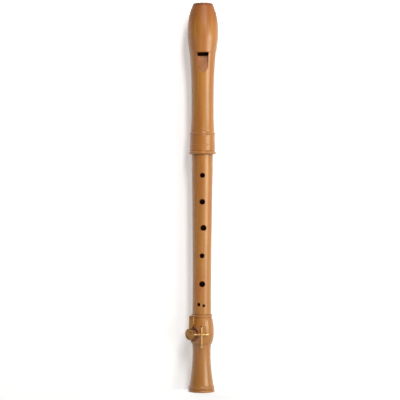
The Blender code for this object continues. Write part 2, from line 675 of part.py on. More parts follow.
def build_touch(pivot):
    """The little finger's tongue above the cup, hollowed underneath to pass the swelling when pressed."""
    rim = PAD_CUP_RADIUS + JOINT_GAP
    top = TOUCH_LENGTH
    far = -PAD_OFFSET - TOUCH_FAR_OFFSET
    near = -PAD_OFFSET + TOUCH_NEAR_OFFSET
    root_angle = acos(TOUCH_ROOT_OFFSET / rim)
    far_angle = acos(-TOUCH_FAR_OFFSET / rim)
    corner = TOUCH_CORNER_RADIUS
    outline = arc((-PAD_OFFSET, 0), rim, far_angle, root_angle, 5)
    outline += [(near, TOUCH_CUT_HEIGHT)]
    outline += arc((near - corner, top - corner), corner, 0, pi / 2, 4)
    outline += arc((far + corner, top - corner), corner, pi / 2, pi, 4)
    thickness = PAD_CUP_DEPTH + PAD_PROUD
    upright = Matrix.Translation((0, -CUP_FACE + thickness / 2, 0)) @ Matrix.Rotation(radians(90), 4, "X")
    touch = as_part(slab("key_touch", outline, thickness), BRASS, upright, pivot)
    hollow = rod("touch_hollow", SWELL_RADIUS + TOUCH_CLEARANCE, 0, 2 * top, ARC_STEPS)
    bore_when_closed = Matrix.Translation((-PAD_OFFSET, AXLE_DISTANCE * cos(SEAT_ANGLE), 0))
    as_cutter(hollow, bore_when_closed).parent = pivot
    combine(touch, hollow)


def arc_bar(name, inner, outer, start, end, height, count=8):
    """An upright-sided bar bent round the bore's axis between two azimuths in degrees."""
    first = radians(start - 90)
    last = radians(end - 90)
    outline = arc((0, 0), outer, first, last, count) + arc((0, 0), inner, last, first, count)
    return slab(name, outline, height)


def build_tail(pivot):
    """The key's tail on the right, and the cork under its end that rests on the swelling."""
    centre = AXLE_DISTANCE + TAIL_RISE
    inner = centre - TAIL_THICKNESS / 2
    outer = centre + TAIL_THICKNESS / 2
    start = (TUBE_RADIUS + JOINT_GAP) / AXLE_DISTANCE * 180 / pi
    level = Matrix.Translation((0, 0, SEAT_HEIGHT))
    away = pivot.matrix_world.inverted() @ level
    tail = arc_bar("key_tail", inner, outer, start, TAIL_SWEEP, ARM_HEIGHT)
    as_part(tail, BRASS, away, pivot)
    cork_outer = inner - JOINT_GAP
    cork_inner = cork_outer - TAIL_CORK_THICKNESS
    cork = arc_bar("tail_cork", cork_inner, cork_outer, TAIL_SWEEP - TAIL_CORK_SWEEP, TAIL_SWEEP, ARM_HEIGHT, 4)
    as_part(cork, CORK, away, pivot)


def make_pivot():
    """The key's hinge: upright in front, turned so that the pad at rest stands open."""
    pivot = bpy.data.objects.new("key_pivot", None)
    PARTS.objects.link(pivot)
    pivot.location = (0, -AXLE_DISTANCE, SEAT_HEIGHT)
    pivot.rotation_euler = (0, 0, radians(SEAT_AZIMUTH + KEY_OPENING))
    bpy.context.view_layer.update()
    return pivot


for old in list(bpy.data.objects):
    bpy.data.objects.remove(old, do_unlink=True)
PARTS = make_collection("alto_recorder")
CUTTERS = make_collection("cutters")
build_head()
build_middle()
build_foot()
build_posts()
build_pin()
build_spring()
KEY_PIVOT = make_pivot()
build_key(KEY_PIVOT)
build_tail(KEY_PIVOT)
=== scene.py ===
"""Alto recorder in oiled pearwood with a brass foot key: fine surfaces, finishes, light and camera.

Everything is in metres in the model's own frame: the bore runs up +Z from the foot's end and the
finger holes face -Y. Azimuths are in degrees from -Y towards +X, the viewer's right.
"""

from math import acos, cos, radians, sin

import bmesh
import bpy
import numpy as np
from mathutils import Matrix, Vector


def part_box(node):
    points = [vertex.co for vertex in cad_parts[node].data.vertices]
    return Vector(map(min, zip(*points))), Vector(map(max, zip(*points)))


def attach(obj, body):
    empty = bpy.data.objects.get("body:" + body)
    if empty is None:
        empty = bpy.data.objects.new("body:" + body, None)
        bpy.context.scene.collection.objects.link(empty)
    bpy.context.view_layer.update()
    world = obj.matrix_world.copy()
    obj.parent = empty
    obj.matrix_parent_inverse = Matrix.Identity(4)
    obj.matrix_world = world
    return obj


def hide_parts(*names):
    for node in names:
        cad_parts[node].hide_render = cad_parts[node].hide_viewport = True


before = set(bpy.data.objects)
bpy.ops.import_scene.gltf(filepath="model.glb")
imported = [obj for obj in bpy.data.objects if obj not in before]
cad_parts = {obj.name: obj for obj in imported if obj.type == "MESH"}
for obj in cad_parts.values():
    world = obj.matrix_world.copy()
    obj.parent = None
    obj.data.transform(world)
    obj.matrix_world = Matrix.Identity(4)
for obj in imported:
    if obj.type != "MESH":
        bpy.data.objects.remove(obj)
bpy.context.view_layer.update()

# Shoulders of the three joints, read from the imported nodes
UPPER_TENON_LENGTH = 0.0224
LOWER_TENON_LENGTH = 0.0174
FOOT_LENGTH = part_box("foot_joint")[1][2]
MIDDLE_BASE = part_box("middle_joint")[0][2] + LOWER_TENON_LENGTH
MIDDLE_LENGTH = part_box("middle_joint")[1][2] - UPPER_TENON_LENGTH - MIDDLE_BASE
HEAD_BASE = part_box("head_joint")[0][2]
HEAD_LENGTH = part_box("head_joint")[1][2] - HEAD_BASE

# Bore, sockets and corks
HEAD_BORE_RADIUS = 0.0097
MIDDLE_BORE_TOP_RADIUS = 0.0093
MIDDLE_BORE_END_RADIUS = 0.0068
FOOT_BORE_TOP_RADIUS = 0.0066
FOOT_BORE_END_RADIUS = 0.0060
UPPER_TENON_RADIUS = 0.0112
LOWER_TENON_RADIUS = 0.0090
SOCKET_SPARE_DEPTH = 0.0006
SOCKET_ROOM = 0.00075
CORK_SHOULDER = 0.0040
CORK_GROOVE_DEPTH = 0.0006
CORK_SEAT_GAP = 0.00015
CORK_PROUD = 0.0005
CORK_END_GAP = 0.0003

# Outside of the head, with drops counted from its top
HEAD_TIP_RADIUS = 0.0120
HEAD_SWELL_RADIUS = 0.0189
HEAD_SWELL_DROP = 0.0405
HEAD_SWELL_POWER = 2.55
HEAD_TAPER_LENGTH = 0.0296
HEAD_TAPER_POWER = 1.3
HEAD_WAIST_RADIUS = 0.0137
HEAD_WAIST_DROP = 0.1150
HEAD_FLARE = 0.0009
HEAD_STEP = 0.0006
HEAD_STEP_ABOVE_WINDOW = 0.0010
HEAD_STEP_HEIGHT = 0.0004
COLLAR_TOP_RADIUS = 0.01515
COLLAR_END_RADIUS = 0.0156
COLLAR_GROOVE_RADIUS = 0.0152
COLLAR_LENGTH = 0.0242
UPPER_BEAD_HEIGHT = 0.0026
UPPER_BEAD_RADIUS = 0.0160
LOWER_BEAD_HEIGHT = 0.0032
LOWER_BEAD_RADIUS = 0.0169

# Beak, windway, window and block
BEAK_LENGTH = 0.0380
BEAK_TIP_THICKNESS = 0.0085
WINDWAY_LENGTH = 0.0604
WINDWAY_WIDTH = 0.0127
WINDWAY_ROOF_DEPTH = 0.0002
WINDWAY_HEIGHT = 0.0012
WINDWAY_CURVE_RADIUS = 0.0195
WINDOW_HEIGHT = 0.0046
LABIUM_EDGE = 0.00015
LABIUM_ANGLE = 12
LABIUM_FLARE_ANGLE = 1.5
LABIUM_WALL_ANGLE = 8
LABIUM_UNDERCUT = 0.0080
BLOCK_GAP = 0.00015

# Eased edges and the mouths of the holes
BORE_EDGE = 0.0003
HEAD_TIP_ROUND = 0.0005
MIDDLE_END_ROUND = 0.0003
TENON_EASE = 0.0002
CORK_EASE = 0.0004
POCKET_EASE = 0.0006
HOLE_MOUTH = 0.00025
SMALL_HOLE_MOUTH = 0.00018
SMALL_HOLE_DIAMETER = 0.005
HOLE_MOUTH_TURN = 78
DRILL_REACH = 0.004

# Outside of the middle joint
MIDDLE_TOP_RADIUS = 0.0131
MIDDLE_WAIST_RADIUS = 0.01135
MIDDLE_END_RADIUS = 0.0115
MIDDLE_WAIST_HEIGHT = 0.0330

# Holes: height above the middle joint's lower shoulder, diameter, azimuth
FINGER_HOLES = {
    "first": (0.1700, 0.0061, 0.6),
    "second": (0.1377, 0.0069, 0.2),
    "third": (0.1059, 0.0073, 8.3),
    "fourth": (0.0719, 0.0059, 0.2),
    "fifth": (0.0373, 0.0072, 1.7),
    "sixth large": (0.0123, 0.0045, -20.5),
    "sixth small": (0.0111, 0.0034, 12.5),
    "thumb": (0.1789, 0.0058, 182.5),
}

# Outside of the foot
FOOT_BEAD_RADIUS = 0.0131
FOOT_BEAD_HEIGHT = 0.0026
FOOT_GROOVE_RADIUS = 0.0123
SWELL_TOP_DROP = 0.0046
SWELL_TOP_RADIUS = 0.0130
SWELL_RADIUS = 0.0150
SWELL_MIDDLE_DROP = 0.0218
SWELL_END_DROP = 0.0357
SWELL_END_RADIUS = 0.0126
NECK_TOP_RADIUS = 0.0117
NECK_WAIST_RADIUS = 0.0110
NECK_WAIST_HEIGHT = 0.0470
BELL_RADIUS = 0.0149
BELL_POWER = 1.8
RIM_HEIGHT = 0.0069
RIM_RADIUS = 0.0162
RIM_GROOVE_RADIUS = 0.0152
RIM_BEAD_HEIGHT = 0.0036
RIM_LIP_HEIGHT = 0.0027
RIM_LIP_OVERRUN = 0.0004
RIM_EDGE_RADIUS = 0.0156

# Seventh finger hole and the milled places round it
SEAT_AZIMUTH = -53
SEAT_BELOW_TOP = 0.0233
SEAT_DROP = 0.00095
SEAT_HOLE_RADIUS = 0.00325
SEAT_RIM_RADIUS = 0.0050
POCKET_RADIUS = 0.0094
POCKET_DEPTH = 0.00365
KEY_FLAT_DROP = 0.00125
KEY_FLAT_RISE = 0.0100

# Key
KEY_OPENING = 14
AXLE_STANDOFF = 0.0016
AXLE_RADIUS = 0.00055
AXLE_CLEARANCE = 0.0001
AXLE_END = 0.0004
AXLE_EASE = 0.00025
AXLE_SLOT_DEPTH = 0.0003
AXLE_SLOT_HALF_WIDTH = 0.0001
TUBE_RADIUS = 0.0010
TUBE_EDGE = 0.0001
TUBE_RING_OFFSET = 0.0007
TUBE_RING_HALF_WIDTH = 0.00012
UPPER_POST_RISE = 0.0085
UPPER_POST_HEAD_RADIUS = 0.0020
UPPER_POST_HEAD_THICKNESS = 0.0014
LOWER_POST_FALL = 0.0145
LOWER_POST_BALL_RADIUS = 0.0017
POST_NECK_RADIUS = 0.0011
POST_FLANGE_RADIUS = 0.0015
POST_SHANK_RADIUS = 0.0009
POST_SHANK_LENGTH = 0.0032
POST_FLANGE_HEIGHT = 0.0003
POST_WAIST_SHARE = 0.85
POST_EASE = 0.0002
POST_HEAD_EASE = 0.0004
JOINT_GAP = 0.00015
PAD_CUP_RADIUS = 0.00705
PAD_CUP_DEPTH = 0.0019
PAD_CUP_WALL = 0.0006
PAD_CUP_FACE = 0.0007
PAD_PROUD = 0.0013
PAD_SEAT_GAP = 0.0001
PAD_EASE = 0.0006
CUP_EDGE = 0.0001
CUP_ROLL = 0.0006
CUP_DISH_DEPTH = 0.00022
CUP_BOSS_RADIUS = 0.0022
CUP_BOSS_SLOPE = 0.0006
CUP_RING_RADIUS = 0.0054
CUP_RING_SLOPE = 0.0005
ARM_HEIGHT = 0.0020
ARM_HALF_SHARE = 0.42
ARM_WAIST_SHARE = 0.22
ARM_SQUARENESS = 3.0
TOUCH_LENGTH = 0.0226
TOUCH_NEAR_OFFSET = 0.0057
TOUCH_FAR_OFFSET = 0.0011
TOUCH_ROOT_OFFSET = 0.0030
TOUCH_CUT_HEIGHT = 0.0132
TOUCH_CORNER_RADIUS = 0.0015
TOUCH_CLEARANCE = 0.00025
TOUCH_EDGE = 0.00045
TOUCH_CROWN = 0.0004
TOUCH_ROOT_HEIGHT = 0.0010
TOUCH_STEP = 0.0001
TOUCH_SQUARENESS = 4.5
TAIL_THICKNESS = 0.0012
TAIL_RISE = 0.0003
TAIL_SWEEP = 31
TAIL_TIP = 0.0012
TAIL_SQUARENESS = 3.2
TAIL_CORK_THICKNESS = 0.0010
TAIL_CORK_SWEEP = 10
TAIL_CORK_TIP = 0.0003
TAIL_CORK_SQUARENESS = 5
SPRING_RADIUS = 0.0003
SPRING_INSET = 0.0021
SPRING_LEAN = 0.0014
SPRING_SHORT = 0.0004
SPRING_TAPER = 0.6
SPRING_BEND = 1.3

# How finely the surfaces are divided
WOOD_SIDES = 144
SMALL_SIDES = 64
SHARP_ANGLE = 38
MERGE = 1e-7

# Places that follow from the sizes
WINDWAY_END = HEAD_LENGTH - WINDWAY_LENGTH
LABIUM_HEIGHT = WINDWAY_END - WINDOW_HEIGHT
ROOF_DEPTH = HEAD_BORE_RADIUS + WINDWAY_ROOF_DEPTH
UPPER_BEAD_TOP = COLLAR_LENGTH + UPPER_BEAD_HEIGHT
TENON_TOP = MIDDLE_LENGTH + UPPER_TENON_LENGTH
SWELL_TOP_HEIGHT = FOOT_LENGTH - SWELL_TOP_DROP
SWELL_MIDDLE_HEIGHT = FOOT_LENGTH - SWELL_MIDDLE_DROP
SWELL_END_HEIGHT = FOOT_LENGTH - SWELL_END_DROP
AXLE_DISTANCE = SWELL_RADIUS + AXLE_STANDOFF
SEAT_HEIGHT = FOOT_LENGTH - SEAT_BELOW_TOP
SEAT_DISTANCE = SWELL_RADIUS - SEAT_DROP
POCKET_FLOOR = SWELL_RADIUS - POCKET_DEPTH
KEY_FLAT_DISTANCE = SWELL_RADIUS - KEY_FLAT_DROP
UPPER_POST_HEIGHT = SEAT_HEIGHT + UPPER_POST_RISE
LOWER_POST_HEIGHT = SEAT_HEIGHT - LOWER_POST_FALL
SEAT_ANGLE = radians(-SEAT_AZIMUTH)
PAD_OFFSET = AXLE_DISTANCE * sin(SEAT_ANGLE)
AXLE_BEHIND = AXLE_DISTANCE * cos(SEAT_ANGLE)
CUP_FACE = SEAT_DISTANCE + PAD_SEAT_GAP + PAD_PROUD + PAD_CUP_DEPTH - AXLE_BEHIND

# Turned lines: place, depth and half width of each. A depth below nought stands proud.
HEAD_LINES = (
    (UPPER_BEAD_TOP + 0.0050, 0.00009, 0.0002),
    (UPPER_BEAD_TOP + 0.0007, 0.00016, 0.00035),
    (COLLAR_LENGTH - 0.0004, 0.00014, 0.0003),
    (0.0123, 0.00007, 0.0002),
    (0.0111, -0.00007, 0.0003),
    (LOWER_BEAD_HEIGHT + 0.0009, 0.00040, 0.0004),
)
MIDDLE_LINES = ((MIDDLE_LENGTH - 0.0019, 0.00006, 0.0002), (MIDDLE_LENGTH - 0.0042, 0.00005, 0.0002))
FOOT_LINES = ((SWELL_TOP_HEIGHT + 0.0003, 0.00012, 0.0003), (RIM_HEIGHT + 0.0005, 0.00016, 0.0004))
CUP_LINE = (0.0043, 0.00010, 0.00018)


def tint(red, green, blue):
    """A colour as a picture shows it, 0 to 255, made linear for the shaders."""
    shown = np.array([red, green, blue]) / 255
    linear = np.where(shown > 0.04045, ((shown + 0.055) / 1.055) ** 2.4, shown / 12.92)
    return (*linear.tolist(), 1)


class Field:
    """A socket of a finish that adds its own Math nodes when it is added, multiplied and so on."""

    def __init__(self, finish, socket):
        self.finish = finish
        self.socket = socket

    def maths(self, operation, first, second):
        return self.finish.node("ShaderNodeMath", {"operation": operation}, {0: first, 1: second})

    def __add__(self, other):
        return self.maths("ADD", self, other)

    __radd__ = __add__

    def __mul__(self, other):
        return self.maths("MULTIPLY", self, other)

    __rmul__ = __mul__

    def __sub__(self, other):
        return self.maths("SUBTRACT", self, other)

    def __rsub__(self, other):
        return self.maths("SUBTRACT", other, self)

    def between(self, low, high):
        """Rises smoothly from 0 at low to 1 at high, and stays there."""
        rise = {"From Min": low, "From Max": high}
        return self.finish.node(
            "ShaderNodeMapRange", {"interpolation_type": "SMOOTHSTEP"}, {"Value": self, **rise}
        )

    def blend(self, start, end):
        """The colour start where this is 0 and end where it is 1."""
        return self.finish.node(
            "ShaderNodeMix", {"data_type": "RGBA"}, {"Factor": self, "A": start, "B": end}, "Result"
        )


class Finish:
    """A node-based material. node() adds any node: its settings first, then its sockets' values or links."""

    def __init__(self, name):
        self.material = bpy.data.materials.new(name)
        self.material.use_nodes = True
        self.tree = self.material.node_tree
        self.tree.nodes.clear()

    def node(self, kind, settings=None, inputs=None, output=None):
        made = self.tree.nodes.new(kind)
        for key, value in (settings or {}).items():
            setattr(made, key, value)
        for key, value in (inputs or {}).items():
            self.feed(self.input_of(made, key), value)
        outs = [o for o in made.outputs if o.enabled]
        if not outs:
            return made
        found = next((o for o in outs if o.name == output), outs[0])
        return Field(self, found)

    def input_of(self, made, key):
        if isinstance(key, int):
            return made.inputs[key]
        return next(i for i in made.inputs if i.name == key and i.enabled)

    def feed(self, socket, value):
        if isinstance(value, Field):
            self.tree.links.new(value.socket, socket)
        else:
            socket.default_value = value

    def place(self, stretch=(1, 1, 1), turn=(0, 0, 0), shift=(0, 0, 0)):
        """Object coordinates, shifted, turned and stretched."""
        where = self.node("ShaderNodeTexCoord", output="Object")
        moves = {"Scale": stretch, "Rotation": turn, "Location": shift}
        return self.node("ShaderNodeMapping", None, {"Vector": where, **moves})

    def noise(self, where, scale, detail=3, roughness=0.5, distortion=0.0):
        settings = {"Vector": where, "Scale": scale, "Detail": detail, "Roughness": roughness}
        return self.node("ShaderNodeTexNoise", None, {**settings, "Distortion": distortion})

    def height(self):
        """How high a point is on the object, in metres."""
        return self.node("ShaderNodeSeparateXYZ", None, {"Vector": self.place()}, "Z")

    def bump(self, height, strength, distance):
        return self.node(
            "ShaderNodeBump", None, {"Height": height, "Strength": strength, "Distance": distance}
        )

    def surface(self, **sockets):
        """Closes the finish with a Principled shader. Underscores stand for spaces in its sockets' names."""
        inputs = {name.replace("_", " "): value for name, value in sockets.items()}
        shader = self.node("ShaderNodeBsdfPrincipled", None, inputs)
        self.node("ShaderNodeOutputMaterial", None, {"Surface": shader})
        return self.material


def pearwood():
    """Oiled pearwood: long soft streaks, fine growth lines, a few brown flecks and a satin sheen.

    It is redder, darker and duller round the mouthpiece, and yellower towards the foot.
    Its top rim is darker still: painted shade.
    """
    wood = Finish("oiled pearwood")
    broad = wood.noise(wood.place((1, 1, 0.05)), 190, 3, 0.5)
    lines = wood.noise(wood.place((1, 0.5, 0.018), turn=(0, 0, 0.6)), 900, 3, 0.6)
    clouds = wood.noise(wood.place((1, 1, 0.3), shift=(0.5, 0.2, 0.1)), 60, 2)
    pores = wood.noise(wood.place((1, 1, 0.10)), 3000, 2, 0.6).between(0.58, 0.74)
    spots = wood.noise(wood.place((1, 1, 0.45), shift=(0.1, 0.7, 0.3)), 420, 2, 0.4).between(0.70, 0.80)
    height = wood.height()
    worn = height.between(0.436, 0.462)
    tone = (broad * 0.6 + lines * 0.4).between(0.34, 0.66)
    body = tone.blend(tint(164, 101, 26), tint(188, 122, 40))
    warmed = (clouds.between(0.42, 0.66) * 0.5).blend(body, tint(178, 100, 30))
    top = (height.between(0.440, 0.472) * 0.7).blend(warmed, tint(150, 78, 34))
    # Painted shade: the top rim of the mouthpiece is darkened towards deep brown.
    tip = (height.between(0.4700, 0.4742) * 0.7).blend(top, tint(104, 50, 30))
    low = (height.between(0.150, 0.030) * 0.5).blend(tip, tint(160, 106, 40))
    marked = (pores * 0.22 + spots * 0.5).blend(low, tint(104, 58, 26))
    relief = wood.bump(lines * 0.5 - pores, 0.06, 0.0002)
    sheen = broad * 0.08 + pores * 0.15 + worn * 0.12 + 0.36
    wax = {"Coat_Weight": 0.65 - worn * 0.6, "Coat_Roughness": 0.3, "Specular_IOR_Level": 0.45}
    return wood.surface(Base_Color=marked, Roughness=sheen, Normal=relief, **wax)


def cut_pearwood():
    """Pearwood where it is milled, drilled or bored: redder, darker and dull, with fine fibres."""
    wood = Finish("cut pearwood")
    fibres = wood.noise(wood.place((1, 1, 0.06)), 1500, 3, 0.6)
    clouds = wood.noise(wood.place((1, 1, 0.4)), 140, 2)
    body = (fibres * 0.6 + clouds * 0.4).between(0.34, 0.66).blend(tint(150, 92, 52), tint(174, 114, 68))
    return wood.surface(Base_Color=body, Roughness=0.62, Normal=wood.bump(fibres, 0.25, 0.0001))


def cedarwood():
    """Bare red cedar: straight growth lines and a dry surface."""
    wood = Finish("bare cedar")
    rings = wood.noise(wood.place((1, 0.35, 0.02)), 900, 3)
    fibres = wood.noise(wood.place((1, 1, 0.05)), 3200, 2)
    tone = (rings * 0.7 + fibres * 0.3).between(0.35, 0.65)
    body = tone.blend(tint(150, 88, 56), tint(190, 132, 92))
    return wood.surface(Base_Color=body, Roughness=0.7, Normal=wood.bump(fibres, 0.3, 0.0001))


def cork_bark():
    """Cut cork: buff grains with dark pits between them."""
    cork = Finish("cut cork")
    grains = cork.noise(cork.place(), 1900, 4, 0.65)
    pits = cork.noise(cork.place(shift=(0.3, 0.1, 0.2)), 1300, 2).between(0.62, 0.72)
    body = grains.between(0.3, 0.7).blend(tint(166, 122, 76), tint(214, 172, 120))
    marked = (pits * 0.7).blend(body, tint(92, 58, 34))
    return cork.surface(Base_Color=marked, Roughness=0.9, Normal=cork.bump(grains - pits, 0.5, 0.0002))


def brass_metal(name, bright, dull):
    """Brass, tarnished in clouds from bright to dull, with fine rubbing marks."""
    brass = Finish(name)
    clouds = brass.noise(brass.place(), 260, 3)
    marks = brass.noise(brass.place((1, 1, 0.08)), 4200, 2, 0.7)
    body = clouds.between(0.38, 0.70).blend(bright, dull)
    rough = clouds * 0.08 + marks * 0.06 + 0.20
    relief = brass.bump(marks, 0.04, 0.0001)
    return brass.surface(Base_Color=body, Metallic=1.0, Roughness=rough, Normal=relief)


def steel_metal():
    """Bright drawn steel."""
    steel = Finish("drawn steel")
    marks = steel.noise(steel.place((1, 1, 0.05)), 4200, 2)
    body = marks.blend(tint(150, 150, 152), tint(196, 196, 198))
    return steel.surface(Base_Color=body, Metallic=1.0, Roughness=marks * 0.15 + 0.2)


def kid_leather():
    """Pale kid leather with a fine pebble."""
    kid = Finish("kid leather")
    pebble = kid.noise(kid.place(), 4200, 3)
    body = pebble.between(0.3, 0.7).blend(tint(178, 140, 112), tint(218, 186, 158))
    return kid.surface(Base_Color=body, Roughness=0.75, Normal=kid.bump(pebble, 0.3, 0.0001))


PEAR = pearwood()
CUT = cut_pearwood()
CEDAR = cedarwood()
CORK = cork_bark()
BRASS = brass_metal("polished brass", tint(206, 162, 106), tint(188, 144, 94))
# A darker copy of the brass for the cup and the touch: painted shade, as they face away from the light.
SHADE_PAINTED_BRASS = brass_metal("shade-painted brass", tint(162, 118, 72), tint(142, 100, 60))
STEEL = steel_metal()
KID = kid_leather()

UPRIGHT = np.eye(3, 4)


def facing(azimuth, origin=(0, 0, 0)):
    """A place as a 3 by 4 array, by columns: right, up and out at an azimuth, then its origin."""
    turn = radians(azimuth)
    right = (cos(turn), sin(turn), 0)
    out = (sin(turn), -cos(turn), 0)
    return np.array([right, (0, 0, 1), out, origin]).T


def put(points, place):
    return points @ place[:, :3].T + place[:, 3]


def skin(name, grid, finish, ring=False, inner_row=None, inner_finish=None):
    """A closed mesh from a grid of rows of points. Columns go round, and rows do too on a ring.

    Elsewhere the first and last row are a pole or are closed with one flat face. Rows from inner_row
    on take the inner finish.
    """
    rows, columns = grid.shape[:2]
    index = np.arange(rows * columns).reshape(rows, columns)
    below = np.roll(index, -1, 0)
    if not ring:
        index, below = index[:-1], below[:-1]
    quads = np.stack([index, np.roll(index, -1, 1), np.roll(below, -1, 1), below], -1)
    faces = quads.reshape(-1, 4).tolist()
    if not ring:
        faces += [list(range(columns)), list(range((rows - 1) * columns, rows * columns))]
    mesh = bpy.data.meshes.new(name)
    mesh.from_pydata(grid.reshape(-1, 3), [], faces)
    mesh.materials.append(finish)
    if inner_finish is not None:
        mesh.materials.append(inner_finish)
        inner = np.repeat(np.arange(len(quads)) >= inner_row, columns).astype(np.int32)
        mesh.polygons.foreach_set("material_index", inner)
    shape = bmesh.new()
    shape.from_mesh(mesh)
    bmesh.ops.remove_doubles(shape, verts=shape.verts, dist=MERGE)
    bmesh.ops.recalc_face_normals(shape, faces=shape.faces)
    shape.to_mesh(mesh)
    shape.free()
    piece = bpy.data.objects.new(name, mesh)
    bpy.context.scene.collection.objects.link(piece)
    return piece


def turned(name, profile, finish, place=UPRIGHT, sides=SMALL_SIDES, **rest):
    """Turns (radius, height) points round a place's outward axis: r cos a, r sin a, h for angles a."""
    profile = np.asarray(profile, float)
    angles = np.linspace(0, 2 * np.pi, sides, endpoint=False)
    radius = profile[:, :1]
    height = np.broadcast_to(profile[:, 1:], (len(profile), sides))
    grid = np.stack([radius * np.cos(angles), radius * np.sin(angles), height], -1)
    return skin(name, put(grid, place), finish, **rest)


def eased(corners, radius, ring=False, steps=5):
    """Rounds an outline's corners with parabolas that start and end at most a radius from each corner."""
    corners = np.asarray(corners, float)
    before = np.roll(corners, 1, 0) - corners
    after = np.roll(corners, -1, 0) - corners
    lengths = [np.maximum(np.linalg.norm(side, axis=1, keepdims=True), MERGE) for side in (before, after)]
    start = corners + before * np.minimum(radius / lengths[0], 0.45)
    end = corners + after * np.minimum(radius / lengths[1], 0.45)
    if not ring:
        start[[0, -1]] = end[[0, -1]] = corners[[0, -1]]
    share = np.linspace(0, 1, steps)[None, :, None]
    left = 1 - share
    bend = 2 * share * left * corners[:, None]
    curve = left**2 * start[:, None] + bend + share**2 * end[:, None]
    flat = curve.reshape(-1, corners.shape[1])
    keep = np.linalg.norm(flat - np.roll(flat, 1, 0), axis=1) > MERGE
    keep[0] = True
    return flat[keep]


def oval(count, power):
    """A rounded square from -1 to 1: cosines and sines to the power 2/n, so that a larger n is squarer."""
    angles = np.linspace(0, 2 * np.pi, count, endpoint=False)
    both = np.array([np.cos(angles), np.sin(angles)])
    return np.sign(both) * np.abs(both) ** (2 / power)


def carve(piece, tool, operation="DIFFERENCE"):
    """Cuts or joins a piece with a tool for good. The tool goes, and its faces keep its finish."""
    cut = piece.modifiers.new("cut", "BOOLEAN")
    cut.operation = operation
    cut.object = tool
    cut.solver = "EXACT"
    cut.material_mode = "TRANSFER"
    bpy.context.view_layer.update()
    graph = bpy.context.evaluated_depsgraph_get()
    made = bpy.data.meshes.new_from_object(piece.evaluated_get(graph))
    piece.modifiers.remove(cut)
    whole = piece.data
    piece.data = made
    bpy.data.meshes.remove(whole)
    bpy.data.objects.remove(tool, do_unlink=True)


def hand_over(piece, body, node):
    """Smooths a finished piece and lets it ride and stand for its node."""
    piece.data.shade_smooth()
    piece.data.set_sharp_from_angle(angle=radians(SHARP_ANGLE))
    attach(piece, body)
    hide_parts(node)


def heights(*stretches):
    """Heights from top to bottom: each stretch is (from, down to, step), all in millimetres."""
    runs = [np.arange(high, low, -step) for high, low, step in stretches]
    return np.append(np.concatenate(runs), stretches[-1][1]) / 1000


def bead(height, top, tall, base, tip):
    """Radius of a half-round moulding that starts at a height and goes down, and nought elsewhere."""
    share = np.clip((top - height) / tall, 0, 1)
    return np.where((share > 0) & (share < 1), base + (tip - base) * 2 * np.sqrt(share * (1 - share)), 0)


def scored(height, *lines):
    """Depth of turned lines: each is (place, depth, half width), a bell curve across the line."""
    return sum(depth * np.exp(-(((height - at) / width) ** 2)) for at, depth, width in lines)


def smooth_step(value):
    share = np.clip(value, 0, 1)
    return share * share * (3 - 2 * share)


def round_over(height, end, radius):
    """How far a profile is drawn in where it ends at the top, for a quarter-round edge."""
    into = np.clip((height - (end - radius)) / radius, 0, 1)
    return radius * (1 - np.sqrt(1 - into * into))


def head_outside(height):
    """Radius of the head: tip to swell with a power of the distance, swell to waist like a bell curve.

    Below them are a flare with the fourth power of the distance, the collar and two beads.
    """
    drop = HEAD_LENGTH - height
    crown = np.clip(1 - drop / HEAD_SWELL_DROP, 0, 1) ** HEAD_SWELL_POWER
    reach = (HEAD_WAIST_DROP - HEAD_SWELL_DROP) / HEAD_TAPER_LENGTH
    along = np.clip((drop - HEAD_SWELL_DROP) / HEAD_TAPER_LENGTH, 0, reach)
    end = np.exp(-(reach**HEAD_TAPER_POWER))
    fall = (np.exp(-(along**HEAD_TAPER_POWER)) - end) / (1 - end)
    step_height = WINDWAY_END + HEAD_STEP_ABOVE_WINDOW
    under = smooth_step((step_height - height) / HEAD_STEP_HEIGHT)
    taper = HEAD_WAIST_RADIUS + (HEAD_SWELL_RADIUS - HEAD_WAIST_RADIUS - HEAD_STEP * under) * fall
    flare_end = COLLAR_LENGTH + 2 * UPPER_BEAD_HEIGHT
    waist_height = HEAD_LENGTH - HEAD_WAIST_DROP
    flare = HEAD_FLARE * np.clip((waist_height - height) / (waist_height - flare_end), 0, 1) ** 4
    share = np.clip(height / COLLAR_LENGTH, 0, 1)
    collar = COLLAR_END_RADIUS + (COLLAR_TOP_RADIUS - COLLAR_END_RADIUS) * share
    radius = np.where(height > UPPER_BEAD_TOP, taper + flare, collar)
    radius = radius - (HEAD_SWELL_RADIUS - HEAD_TIP_RADIUS) * crown
    radius = np.where(height < LOWER_BEAD_HEIGHT, COLLAR_GROOVE_RADIUS, radius)
    upper = bead(height, UPPER_BEAD_TOP, UPPER_BEAD_HEIGHT, COLLAR_TOP_RADIUS, UPPER_BEAD_RADIUS)
    lower_top = LOWER_BEAD_HEIGHT + CORK_END_GAP
    lower = bead(height, lower_top, LOWER_BEAD_HEIGHT, COLLAR_GROOVE_RADIUS, LOWER_BEAD_RADIUS)
    beaded = np.maximum(radius - scored(height, *HEAD_LINES), np.maximum(upper, lower))
    return beaded - round_over(height, HEAD_LENGTH, HEAD_TIP_ROUND)


def prism(name, outline, low, high, finish, place=UPRIGHT):
    """An outline in a place's right and up directions, carried from low to high along its outward one."""
    flat = np.asarray(outline, float)
    ends = [np.column_stack([flat, np.full(len(flat), level)]) for level in (low, high)]
    return skin(name, put(np.array(ends), place), finish)


def beak_tool():
    """The hollow under the beak: a drum across the back, upright at the tip, out through the swell."""
    cut_depth = HEAD_SWELL_RADIUS + HEAD_TIP_RADIUS - BEAK_TIP_THICKNESS
    radius = (BEAK_LENGTH**2 + cut_depth**2) / (2 * cut_depth)
    back = BEAK_TIP_THICKNESS - HEAD_TIP_RADIUS + radius
    angles = np.linspace(0, 2 * np.pi, 512, endpoint=False)
    outline = np.column_stack([back + radius * np.cos(angles), radius * np.sin(angles)])
    across = facing(90, (0, 0, HEAD_BASE + HEAD_LENGTH))
    return prism("beak hollow", outline, -0.04, 0.04, PEAR, across)


